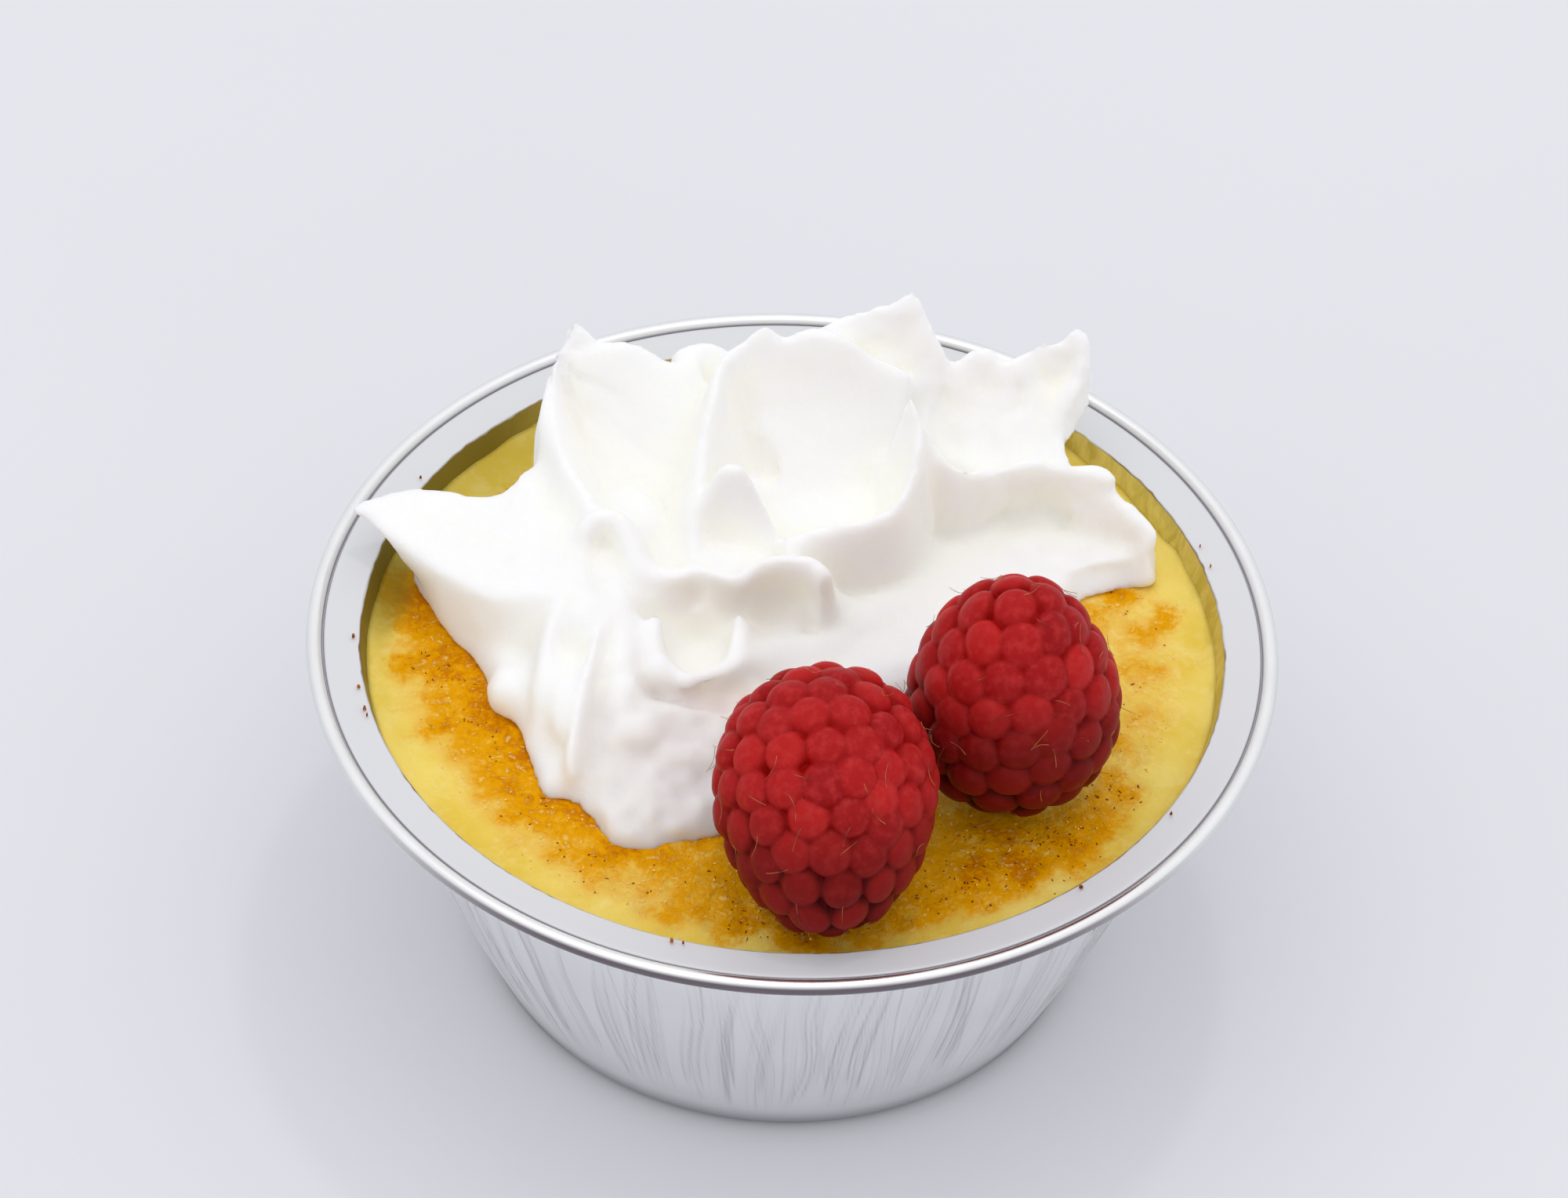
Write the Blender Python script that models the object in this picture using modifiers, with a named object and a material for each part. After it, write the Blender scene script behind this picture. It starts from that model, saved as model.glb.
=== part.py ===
"""Creme brulee in its foil cup, topped with a piped swirl of whipped cream and two raspberries.

Metres, +Z up. The origin is the centre of the cup's flat base, and -Y is the side with the raspberries.
Lengths below are written in millimetres and multiplied by MM.
"""
import math

import bmesh
import bpy
import numpy as np
from mathutils import Matrix, Vector

MM = 0.001
NAME = "creme_brulee"

# Foil cup: a smooth round tapered cup with a flat flange and a rolled bead.
RIM_RADIUS = 44.0
BEAD_RADIUS = 0.7
FLANGE_TOP = 35.75
FLANGE_INNER_RADIUS = 39.5
BASE_RADIUS = 28.3
BASE_CORNER = 2.2
WALL_BULGE = 0.9
FOIL = 0.5
CUP_SEGMENTS = 64

# Custard: fills the cup to a few millimetres under the flange and climbs the wall a little.
GAP = 0.3
CUSTARD_TOP = 32.5
MENISCUS_HEIGHT = 0.9
MENISCUS_WIDTH = 0.7
CUSTARD_SEGMENTS = 48

# Whipped cream.
CREAM_BOTTOM = CUSTARD_TOP + GAP
CREAM_VOXEL = 0.8
CREAM_SMOOTHING = 3
CREAM_TRIANGLES = 3400

# The low bed of cream under the folds: heights above its foot and how far it draws in there,
# and how much more it draws in at the front.
BED_LAYERS = [(0.0, 0.0), (0.8, 0.3), (1.8, 0.9), (2.5, 1.9)]
FRONT_DRAW = 3.2

# Each fold of cream is a ridge. A row is a point on its crest (x, y, z), how far the cream spreads
# from the crest to its left and to its right at the foot, and the height of that foot.
# A negative spread leans the cream over, like a curled lip. steep shapes the two slopes: 1 is
# straight, and more is a hollow, petal-like slope.
FOLDS = {
    "left_wall": {
        "rows": [
            (-19, 7.9, 43.9, 1.4, 3, 39.5), (-19.5, 8.8, 44.1, 1.4, 4, 40),
            (-20.5, 10, 44.6, 1.6, 5, 40), (-21.5, 11.6, 45.3, 1.6, 6, 40),
            (-22.4, 13.8, 46.1, 1.4, 7, 39.6), (-23.1, 16.4, 47.3, 1.1, 7.5, 39),
            (-23.2, 18.6, 48.2, 0.9, 8, 38.5), (-22.6, 20.5, 49, 0.7, 8, 38.5),
            (-22, 21.8, 48.6, 0.6, 7, 38),
        ],
        "steep": (1.3, 1.7),
        "edge": 1.4,
    },
    "left_back": {
        "rows": [
            (-21.9, 23.6, 49.4, 1, 3, 41), (-21.3, 23.7, 51.4, 1.8, 4, 40),
            (-20.5, 23.3, 50.6, 3, 7, 39), (-19.2, 22.9, 49.8, 4, 9, 38.4),
            (-16.4, 23.3, 49.1, 5, 11, 38), (-14.6, 23.2, 48.4, 5, 11, 38),
            (-12.2, 23.2, 47.2, 5, 11, 38.5), (-10, 24.6, 46, 4, 10, 39),
        ],
        "steep": (1.6, 1.2),
        "edge": 1,
    },
    "tuft": {
        "rows": [
            (-12, 25, 45.8, 3, 4, 38), (-10.3, 26, 46.4, 3, 4.5, 38), (-8.8, 26.6, 46.5, 3, 5, 38),
            (-7.6, 26.4, 46.3, 3, 5, 38), (-6, 25.4, 45, 3, 4, 38),
        ],
        "steep": (1.5, 1.2),
        "edge": 1.3,
    },
    "between": {
        "rows": [
            (-9.4, 4.6, 41, 2, 2, 38), (-9.2, 9.8, 44.6, 3, 3, 38), (-9, 13.3, 47.4, 3.4, 4, 38),
            (-8.2, 16.5, 49.6, 4, 6, 38.5), (-7.6, 19.8, 51, 4, 7, 39), (-5.8, 21.6, 51.6, 4, 7, 40),
        ],
        "steep": (1.8, 1.8),
        "edge": 1.3,
    },
    "middle_back": {
        "rows": [
            (-7.4, 20.6, 51, 4, 6, 40), (-5.6, 21.8, 51.8, 5, 8, 40.5), (-3.9, 22.6, 52.8, 5, 9, 41),
            (-1.9, 22.5, 51.7, 5, 9, 41), (0.6, 23.2, 52.1, 5, 9.5, 41), (3.2, 22.9, 51.8, 5, 9, 41),
            (5.4, 22.6, 50.6, 5, 8, 41), (7.6, 22.2, 49.4, 5, 6, 41), (9.6, 21.8, 48.4, 4, 4, 41),
        ],
        "steep": (1.6, 1.75),
        "edge": 1.3,
    },
    "fin": {
        "rows": [
            (9.2, 17.8, 48.4, 1.4, 3, 41), (9.7, 16.9, 50.2, 1.2, 4, 39),
            (10.6, 14.9, 48.7, 1.1, 6, 36.6), (10.5, 12.6, 47, 1, 6.6, 36),
            (9.9, 10.4, 45.4, 0.9, 6.8, 35.4), (8.8, 8.7, 44.4, 0.6, 6.6, 35),
            (7.1, 7.6, 43.8, 0.3, 6, 35), (4.4, 6.9, 43.4, 0.2, 5.6, 35.2), (1.6, 6.3, 43, 0.7, 5, 36),
            (-1.2, 5.3, 42.4, 1.4, 4, 37),
        ],
        "steep": (1.2, 2.2),
        "edge": 1.5,
    },
    "back_rough": {
        "rows": [
            (0.1, 24.2, 50.8, 4, 3, 42), (2.2, 24.9, 51.8, 5, 4, 42), (4.2, 25.4, 52.4, 5, 5, 42),
            (7, 26, 53, 5, 5, 42), (8.7, 26.2, 53.8, 4, 5, 42), (9.5, 26.4, 54.7, 3.4, 5, 42),
            (10.3, 25.9, 53, 3.4, 4.6, 42), (11.4, 24.9, 50.8, 4, 4.4, 42), (12.8, 24.4, 48.8, 4, 5, 42),
        ],
        "steep": (1.4, 1.5),
        "edge": 0.9,
    },
    "right_back": {
        "rows": [
            (10, 22.4, 46.6, 4, 5, 40), (12.5, 24.3, 47.4, 5, 7, 40.5), (14.7, 25.3, 48.1, 5, 8, 40.8),
            (17, 26, 48.4, 5, 8, 40.8), (18.1, 25.2, 47.5, 5, 8, 40.8), (19.7, 25.8, 47.9, 4.6, 8, 40.8),
            (21.8, 27.1, 48.9, 3.8, 6.5, 40.5), (22.9, 26.9, 48.4, 2.6, 4, 40.5),
            (25, 28, 50.3, 1, 1.2, 42),
        ],
        "steep": (1.4, 2.3),
        "edge": 0.9,
    },
    "right_end": {
        "rows": [
            (25.5, 28, 49.6, 0.8, 2, 43), (25.6, 26.4, 47.8, 0.8, 3, 42),
            (24.8, 24.7, 45.8, 0.8, 3.4, 41), (23.6, 23.2, 43.8, 0.8, 3.6, 40),
            (22.9, 22, 42.2, 0.8, 3.6, 39), (23.5, 20.6, 41.2, 1, 3.6, 38), (24.6, 19.2, 40.6, 1, 3, 37),
        ],
        "steep": (1.4, 1.4),
        "edge": 1,
    },
    "ledge": {
        "rows": [
            (9.9, 17, 49, 0.8, 0.8, 37), (10.7, 16.6, 47.6, 1.2, 0.6, 36),
            (11.8, 15.7, 45.8, 1.6, 0.2, 35), (13.4, 14.9, 44.3, 2, -0.3, 34.6),
            (15.6, 15, 43.1, 2.6, -1, 34.4), (17.9, 16, 42.7, 3, -1.4, 34.4),
            (20.2, 17.1, 42.7, 3, -1.5, 34.4), (22.9, 17.6, 42.3, 3, -1.4, 34.4),
            (25.8, 17.6, 41.7, 2.4, -0.8, 34.8), (28.8, 17.8, 41.2, 0.6, -0.1, 39.4),
        ],
        "steep": (1.5, 1),
        "edge": 1.7,
    },
    "right_lobe": {
        "rows": [
            (25.6, 17, 39.6, 1.5, 1.4, 33.2), (28.2, 16.8, 39.6, 1.4, 2.4, 33.2),
            (30.1, 16, 39, 1.2, 2.8, 33.2), (31.7, 14.9, 38.5, 0.8, 2.6, 33),
            (32.5, 13.9, 37.8, 0.5, 2, 33), (32, 13, 37, 0.4, 1.6, 33), (32.5, 12.2, 35.8, 0.4, 1, 33),
            (33.4, 11.9, 34, 0.4, 0.6, 33),
        ],
        "steep": (1.2, 1.3),
        "edge": 1.2,
    },
    "leaf": {
        "rows": [
            (-9.3, 6, 40.4, 2, 1.2, 39), (-9, 7.2, 42.8, 2, 1.3, 38.6), (-8.4, 8, 45.4, 2.2, 1.6, 38.6),
            (-7.5, 8.3, 47.6, 2.4, 1.9, 38.6), (-6.2, 8.4, 48.6, 2.4, 2, 38.6),
            (-5.1, 8.1, 48, 2.4, 1.9, 38.6), (-4, 7.6, 46.2, 2.2, 1.6, 38.6), (-3, 7, 44, 2, 1.3, 38.6),
            (-2.2, 6.3, 42.2, 2, 1.2, 39),
        ],
        "steep": (1.6, 2.6),
        "edge": 1.1,
    },
    "long_lip": {
        "rows": [
            (-19.6, 4.7, 42.9, 1, 0.3, 40), (-18.9, 5.7, 44.1, 2, -0.1, 39.6),
            (-17.5, 6.1, 44.3, 3, -0.6, 39.4), (-16.3, 5.8, 44, 3.4, -0.5, 39),
            (-15.1, 4.5, 43, 3.6, 0.1, 38), (-14.1, 2.7, 41.8, 3.4, 1, 37), (-12.6, 2, 41.3, 3.4, 1, 37),
            (-10.6, 1.9, 41.1, 4, -0.4, 37), (-9.2, 2.4, 41.5, 4, -1.2, 37),
            (-7.1, 2.1, 41.5, 4, -1.7, 37), (-5.1, 1.3, 41.8, 4, -2, 36.6),
            (-3.8, 1.7, 42.5, 4, -2.1, 36), (-2.2, 2.1, 43.2, 4.2, -2.1, 35.6),
            (0.7, 2.1, 43.4, 3.4, -1.9, 35.6), (1.9, 1.6, 43.1, 2, -1.3, 35.6),
            (2.7, 0.7, 42.6, 0.8, -0.6, 36),
        ],
        "steep": (1.3, 1),
        "edge": 1.9,
    },
    "behind_lip": {
        "rows": [
            (-17, 1, 39.8, 3, 3, 35), (-12, 2, 40, 4, 3, 35), (-6, 3.4, 40.2, 4, 3, 35),
            (-1.5, 3.8, 40, 3, 3, 35), (1.6, 3.6, 38.6, 2.4, 2.4, 34), (4, 2.6, 37, 2, 2, 34),
        ],
        "steep": (1.3, 1.3),
        "edge": 3,
    },
    "shoulder": {
        "rows": [
            (-17.4, 2.6, 40.9, 2.4, 1.6, 36), (-15.8, -0.6, 40.6, 3.2, 1.6, 35),
            (-15.2, -4, 40, 3, 1.6, 35), (-15, -7.4, 39.2, 3, 1.8, 34.5),
            (-14.8, -10.4, 38.2, 3, 2.4, 34), (-14.6, -13.4, 37, 3, 3, 33.6),
            (-14.2, -17, 35.8, 3, 3.4, 33.2), (-13.6, -20.6, 34.2, 3, 3, 33),
        ],
        "steep": (1.2, 1.1),
        "edge": 2.2,
    },
    "pocket_rim": {
        "rows": [
            (-12.4, -2.4, 40.2, 0.5, 2, 36), (-12.5, -4.8, 39.5, 0.8, 2, 35.6),
            (-11.6, -7, 38.8, 1.4, 1, 35.4), (-9.6, -8.4, 38.4, 2.2, -0.2, 35.2),
            (-7.5, -8.3, 38.4, 2.2, -0.4, 35.2), (-5.6, -7, 38.5, 1.8, -0.2, 35.2),
            (-4.6, -5.4, 38.4, 1.2, 1, 35), (-3.4, -3.6, 37.6, 1.2, 3, 34.6),
            (-1.2, -1.8, 36.7, 1.4, 4.6, 34), (1.6, -1, 36.3, 1.6, 5, 33.6),
            (4.6, 0.4, 35.8, 2, 4, 33.4),
        ],
        "steep": (1.4, 1),
        "edge": 1.7,
    },
    "pocket_side": {
        "rows": [
            (-5, -0.8, 38.8, 2.6, 0.3, 35.5), (-4.9, -3, 38.7, 3.2, 0.3, 35.2),
            (-5.2, -5.4, 38.5, 3, 0.4, 35), (-5.9, -7, 38.3, 2.4, 0.4, 35),
        ],
        "steep": (1.3, 1.1),
        "edge": 1.1,
    },
    "front_face": {
        "rows": [
            (-13.6, -11.2, 37.5, 2, 11, 33.2), (-11, -11.2, 37.1, 1.4, 11.4, 33),
            (-8.4, -11, 36.9, 1, 11.2, 33), (-5.4, -10, 36.6, 1, 10, 33),
            (-2.2, -8.6, 36.1, 1.4, 8.6, 33), (2, -6.2, 35.4, 2, 6.4, 33), (7, -3, 34.8, 2, 4, 33),
        ],
        "steep": (1.1, 1.2),
        "edge": 2,
    },
    "thin_fold": {
        "rows": [
            (-16.2, -2.6, 40.6, 1.6, 0.7, 37), (-17.4, -5, 40.3, 2, 0.5, 35.5),
            (-18.1, -8.8, 39.7, 2.2, 0.3, 35), (-18.7, -12.4, 38.7, 2.6, 0.2, 34.4),
            (-19.1, -15.4, 37.7, 2.6, 0.2, 34), (-19.2, -17.4, 36.6, 2.2, 0.2, 33.4),
            (-18.7, -18.5, 35, 1.4, 0.3, 33),
        ],
        "steep": (1.7, 1.1),
        "edge": 0.9,
    },
    "left_column": {
        "rows": [
            (-20.4, -0.6, 41.4, 2.4, 2.6, 36), (-21.4, -3.6, 40.6, 1.7, 2.4, 35),
            (-21.9, -6.6, 39.4, 1.3, 1.8, 34), (-21.9, -9.4, 38, 1.2, 1.3, 33.6),
            (-21.8, -11.8, 36.4, 1.1, 1.2, 33.2), (-21.8, -13.8, 34.4, 1, 1, 33),
        ],
        "steep": (1, 1.2),
        "edge": 1.8,
    },
    "right_middle": {
        "rows": [
            (4, 2.4, 36.2, 3, 5, 33), (8, 4.6, 35.8, 3, 6, 33), (12, 8.2, 35.5, 4, 7, 33),
            (16, 11, 35.2, 3.4, 7, 33), (21, 12.7, 35.1, 3, 5, 33), (26, 13.6, 35, 2, 3, 33),
            (30, 14.2, 34.8, 1.4, 1.6, 33),
        ],
        "steep": (1.2, 1.2),
        "edge": 3,
    },
}

# The tongue at the left is a flat-topped wedge that reaches over the flange. A section is its four
# corners: front top, back top, back bottom and front bottom.
TONGUE = [
    [(-40.7, 8.6, 40.5), (-40.7, 9.3, 40.9), (-40.5, 9.3, 40.1), (-40.5, 8.7, 40)],
    [(-38.4, 7, 40.3), (-38.6, 10.7, 40.9), (-38, 10.3, 39), (-37.8, 7.8, 38.8)],
    [(-35.4, 4.2, 40), (-35.6, 11.9, 40.8), (-34.6, 11.4, 36), (-34.9, 6.2, 34.8)],
    [(-31.6, 1, 40), (-31.4, 11.3, 41), (-31, 11, 33), (-31.6, 1.2, 33.6)],
    [(-27.6, -1.4, 40.2), (-27.6, 11.4, 41.3), (-27.6, 12, 33), (-27.8, -2.4, 33.4)],
    [(-24, -2, 40.9), (-24.4, 14.4, 42.3), (-24, 16, 33), (-24.4, -4.4, 34)],
    [(-18.6, -0.4, 41), (-20, 16, 42.4), (-20, 18, 33), (-20.4, -3, 35)],
]

# Where the cream meets the custard, counter-clockwise.
FOOT = [
    (-35.2, 7.9), (-33.4, 3.9), (-31, -0.1), (-28.7, -3), (-27.7, -5.6), (-27.1, -8.5), (-24.7, -10.3),
    (-23.6, -13.2), (-22.6, -16.1), (-21.6, -18.7), (-19, -19.3), (-17.3, -21.3), (-16.1, -23.2),
    (-14.8, -24.7), (-11.7, -24.9), (-8.3, -23.7), (-4.5, -22), (-1, -18), (5, -11.5), (10, -6),
    (16, -3.5), (22, 1), (26.4, 10), (27.8, 11.4), (29.6, 12.6), (30.8, 12.2), (32.6, 11.8),
    (33.4, 12.8), (32.4, 16), (30.5, 20), (25, 25.5), (17, 30.5), (6, 31), (-8, 31), (-19, 28),
    (-26, 21), (-31, 15), (-34.5, 11.5),
]

# Rounded swellings, and hollows under the lip and in the front: centre, then half-sizes.
BUMPS = [
    (-25.4, -7.2, 34.4, 2.1, 2.6, 2.3),
    (-21, 23.5, 49, 1.4, 1.2, 2.3),
    (-15.8, 9.4, 39.4, 3.6, 4.8, 2.5),
    (-18, 3, 38.4, 3.2, 3.8, 2.5),
    (-18.6, -1.4, 38, 3.4, 4.2, 2.9),
    (-20, -8.4, 35.6, 2, 6.4, 2.9),
    (1.2, 14.8, 38.2, 8.5, 6.5, 3),
    (3, 23.5, 37.5, 17, 6.2, 4.6),
    (-13.5, 22.5, 36, 8.5, 5.5, 3.6),
    (16.8, 20.8, 38, 8.4, 4.2, 3),
    (-13.6, 13, 36.8, 6.5, 7, 2.2),
    (-24, 6, 37.6, 6, 8, 3.2),
    (-13, 7.4, 36.6, 6, 6.4, 3.2),
    (-6, 4.4, 38.4, 4.6, 3.6, 2.9),
    (-13.4, -13.4, 35.6, 2.8, 2.6, 1.9),
    (-9, -15.6, 34.8, 3.4, 2.2, 1.7),
    (-10.6, -21, 33.4, 3.6, 2.6, 1.5),
]
HOLLOWS = [
    (-8.4, -2.6, 39.8, 2.9, 4.2, 2.8),
    (-1, 0.3, 38.7, 3.6, 1.7, 3.1),
    (-7.2, -9.6, 36.9, 3.6, 1.5, 0.9),
]

# Raspberries: centre, direction of the tip, half-length, half-width, and the turn about the axis.
BERRIES = {
    "raspberry_front": ((3.4, -27.86, 42.8), (0.05, -0.91, -0.42), 12.2, 10.0, 0.2),
    "raspberry_back": ((19.6, -14.5, 44.55), (0.0, -0.08, 1.0), 11.8, 9.8, 0.9),
}
DRUPELET_RADIUS = 2.9
DRUPELET_SPACING = 4.3
BERRY_SUBDIVISIONS = 4
BERRY_GAP = 0.35


def clear_scene():
    for item in list(bpy.data.objects):
        bpy.data.objects.remove(item)


def new_collection(name):
    collection = bpy.data.collections.new(name)
    bpy.context.scene.collection.children.link(collection)
    return collection


def material(name, color, roughness, metallic=0.0):
    made = bpy.data.materials.new(name)
    made.use_nodes = True
    shader = made.node_tree.nodes["Principled BSDF"]
    shader.inputs["Base Color"].default_value = (*color, 1.0)
    shader.inputs["Roughness"].default_value = roughness
    shader.inputs["Metallic"].default_value = metallic
    return made


def add_object(name, mesh, collection, finish=None):
    item = bpy.data.objects.new(name, mesh)
    collection.objects.link(item)
    if finish:
        mesh.materials.append(finish)
    return item


def apply_modifiers(item):
    """Replaces the object's mesh by its evaluated one."""
    bpy.context.view_layer.update()
    graph = bpy.context.evaluated_depsgraph_get()
    mesh = bpy.data.meshes.new_from_object(item.evaluated_get(graph))
    item.modifiers.clear()
    item.data = mesh
    return item


def turned(name, profile, segments, collection, finish):
    """A solid of revolution. The profile is (radius, height) points in millimetres, from the axis to the
    axis, running down on its outer side."""
    mesh = bpy.data.meshes.new(name)
    points = [(r * MM, 0.0, z * MM) for r, z in profile]
    edges = [(i, i + 1) for i in range(len(points) - 1)]
    mesh.from_pydata(points, edges, [])
    item = add_object(name, mesh, collection, finish)
    screw = item.modifiers.new("turn", "SCREW")
    screw.axis = "Z"
    screw.angle = math.tau
    screw.steps = segments
    screw.render_steps = segments
    screw.use_merge_vertices = True
    screw.merge_threshold = 0.00005
    screw.use_smooth_shade = True
    return item


def arc(center, radius, start, end, count):
    """Points on an arc in the (radius, height) plane. Angles are in degrees."""
    angles = [math.radians(start + (end - start) * k / count) for k in range(count + 1)]
    return [(center[0] + radius * math.cos(a), center[1] + radius * math.sin(a)) for a in angles]


def wall_radius(z):
    """Outer radius of the tapered, slightly bulging wall at height z."""
    t = (z - BASE_CORNER) / (FLANGE_TOP - BASE_CORNER)
    return BASE_RADIUS + (FLANGE_INNER_RADIUS - BASE_RADIUS) * t + WALL_BULGE * 4 * t * (1 - t)


def foil_cup(collection, finish):
    levels = [BASE_CORNER + (FLANGE_TOP - FOIL - BASE_CORNER) * k / 5 for k in range(6)]
    corner = (BASE_RADIUS - BASE_CORNER, BASE_CORNER)
    inside = [(0.0, FOIL)]
    inside += arc(corner, BASE_CORNER - FOIL, -90, -20, 2)
    inside += [(wall_radius(z) - FOIL, z) for z in levels[1:]]
    inside += [(FLANGE_INNER_RADIUS, FLANGE_TOP)]
    bead_center = (RIM_RADIUS - BEAD_RADIUS, FLANGE_TOP - 0.25)
    bead = arc(bead_center, BEAD_RADIUS, 150, -150, 8)
    outside = [(wall_radius(z), z) for z in reversed(levels[1:])]
    outside += arc(corner, BASE_CORNER, -20, -90, 2)
    outside += [(0.0, 0.0)]
    return turned("foil_cup", inside + bead + outside, CUP_SEGMENTS, collection, finish)


def custard(collection, finish):
    edge = CUSTARD_TOP + MENISCUS_HEIGHT
    inner = FOIL + GAP
    levels = [edge - (edge - BASE_CORNER) * k / 5 for k in range(6)]
    corner = (BASE_RADIUS - BASE_CORNER, BASE_CORNER)
    profile = [(0.0, CUSTARD_TOP), (wall_radius(CUSTARD_TOP) - inner - MENISCUS_WIDTH, CUSTARD_TOP)]
    profile += [(wall_radius(z) - inner, z) for z in levels[:-1]]
    profile += arc(corner, BASE_CORNER - inner, -20, -90, 2)
    profile += [(0.0, inner)]
    return turned("custard", profile, CUSTARD_SEGMENTS, collection, finish)


def spline_point(a, b, c, d, t):
    """The Catmull-Rom curve from b to c."""
    return 0.5 * (2 * b + (c - a) * t + (2 * a - 5 * b + 4 * c - d) * t**2 + (3 * b - a - 3 * c + d) * t**3)


def smooth_rows(rows, per_span, closed=False):
    """Rows of numbers on a smooth curve through the given rows."""
    rows = np.array(rows, float)
    count = len(rows)
    if closed:
        around = np.vstack([rows[-1:], rows, rows[:2]])
        spans = count
    else:
        around = np.vstack([2 * rows[0] - rows[1], rows, 2 * rows[-1] - rows[-2]])
        spans = count - 1
    made = [spline_point(*around[i : i + 4], k / per_span) for i in range(spans) for k in range(per_span)]
    if not closed:
        made.append(rows[-1])
    return np.array(made)


def loft(loops):
    """A closed mesh through closed loops of equal length, in millimetres, with a fan on each end."""
    loops = [np.array(loop, float) for loop in loops]
    size = len(loops[0])
    points = [point for loop in loops for point in loop]
    faces = []
    for i in range(len(loops) - 1):
        for j in range(size):
            k = (j + 1) % size
            faces.append((i * size + j, i * size + k, (i + 1) * size + k, (i + 1) * size + j))
    for last in (0, len(loops) - 1):
        points.append(loops[last].mean(axis=0))
        hub = len(points) - 1
        faces += [(hub, last * size + j, last * size + (j + 1) % size) for j in range(size)]
    shape = bmesh.new()
    corners = [shape.verts.new(Vector(point) * MM) for point in points]
    for face in faces:
        shape.faces.new([corners[i] for i in face])
    bmesh.ops.recalc_face_normals(shape, faces=shape.faces)
    return shape


def fold(rows, steep, edge, per_span=5, steps=6):
    """One ridge of cream: a narrow rounded crest whose sides spread towards the foot."""
    line = smooth_rows(rows, per_span)
    along = np.gradient(line[:, :2], axis=0)
    along /= np.linalg.norm(along, axis=1)[:, None]
    loops = []
    for (x, y, z, left, right, foot), (dx, dy) in zip(line, along):
        foot = min(foot, z - 0.5)
        slopes = []
        for sign, spread, power in ((1, left, steep[0]), (-1, right, steep[1])):
            slope = []
            for k in range(steps + 1):
                t = k / steps
                reach = sign * (edge / 2 * min(1, 6 * t + 0.35) + spread * t**power)
                slope.append((x - dy * reach, y + dx * reach, z + (foot - z) * t))
            slopes.append(slope)
        loops.append(slopes[0] + slopes[1][::-1])
    return loft(loops)


def tongue():
    """The wedge at the left, with its corners joined smoothly along its length."""
    sections = np.array(TONGUE, float)
    rows = smooth_rows(sections.reshape(len(sections), -1), 3).reshape(-1, 4, 3)
    loops = []
    for corners in rows:
        sides = zip(corners, np.roll(corners, -1, axis=0))
        loops.append([a + (b - a) * t for a, b in sides for t in (0, 1 / 3, 2 / 3)])
    return loft(loops)


def bed():
    """The low bed of cream under the folds, drawn in towards its top, most of all at the front."""
    outline = np.array(FOOT, float)
    along = np.roll(outline, -1, axis=0) - np.roll(outline, 1, axis=0)
    along /= np.linalg.norm(along, axis=1)[:, None]
    inward = np.stack([-along[:, 1], along[:, 0]], axis=1)
    at_front = np.clip((-outline[:, 1] - 5) / 9, 0, 1)[:, None]
    draw = 1 + (FRONT_DRAW - 1) * at_front
    loops = []
    for height, by in BED_LAYERS:
        line = smooth_rows(outline + inward * draw * by, 3, closed=True)
        loops.append([(x, y, CREAM_BOTTOM + height) for x, y in line])
    return loft(loops)


def ellipsoid(center, half_sizes, subdivisions=3):
    shape = bmesh.new()
    bmesh.ops.create_icosphere(shape, subdivisions=subdivisions, radius=MM)
    place = Matrix.Translation(Vector(center) * MM) @ Matrix.Diagonal((*half_sizes, 1.0))
    bmesh.ops.transform(shape, matrix=place, verts=shape.verts)
    return shape


def keep_largest_shell(mesh):
    """Leaves the outer skin, so no sealed hollow stays inside the cream."""
    shape = bmesh.new()
    shape.from_mesh(mesh)
    unseen = set(shape.verts)
    shells = []
    while unseen:
        stack = [unseen.pop()]
        shell = []
        while stack:
            vertex = stack.pop()
            shell.append(vertex)
            for linked in vertex.link_edges:
                other = linked.other_vert(vertex)
                if other in unseen:
                    unseen.remove(other)
                    stack.append(other)
        shells.append(shell)
    shells.sort(key=len)
    loose = [vertex for shell in shells[:-1] for vertex in shell]
    bmesh.ops.delete(shape, geom=loose, context="VERTS")
    shape.to_mesh(mesh)
    shape.free()


def flatten_bottom(mesh):
    """The cream sits flat, a gap above the custard."""
    for vertex in mesh.vertices:
        vertex.co.z = max(vertex.co.z, CREAM_BOTTOM * MM)


def cut(item, cutter):
    boolean = item.modifiers.new("cut", "BOOLEAN")
    boolean.operation = "DIFFERENCE"
    boolean.solver = "EXACT"
    boolean.object = cutter


def mesh_from(shapes, name):
    """One mesh out of several bmesh shapes."""
    joined = bmesh.new()
    for shape in shapes:
        piece = bpy.data.meshes.new("piece")
        shape.to_mesh(piece)
        shape.free()
        joined.from_mesh(piece)
        bpy.data.meshes.remove(piece)
    mesh = bpy.data.meshes.new(name)
    joined.to_mesh(mesh)
    joined.free()
    return mesh


def guide(name, shape, collection):
    item = add_object(name, mesh_from([shape], name), collection)
    item.hide_render = True
    item.display_type = "WIRE"
    return item


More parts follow.
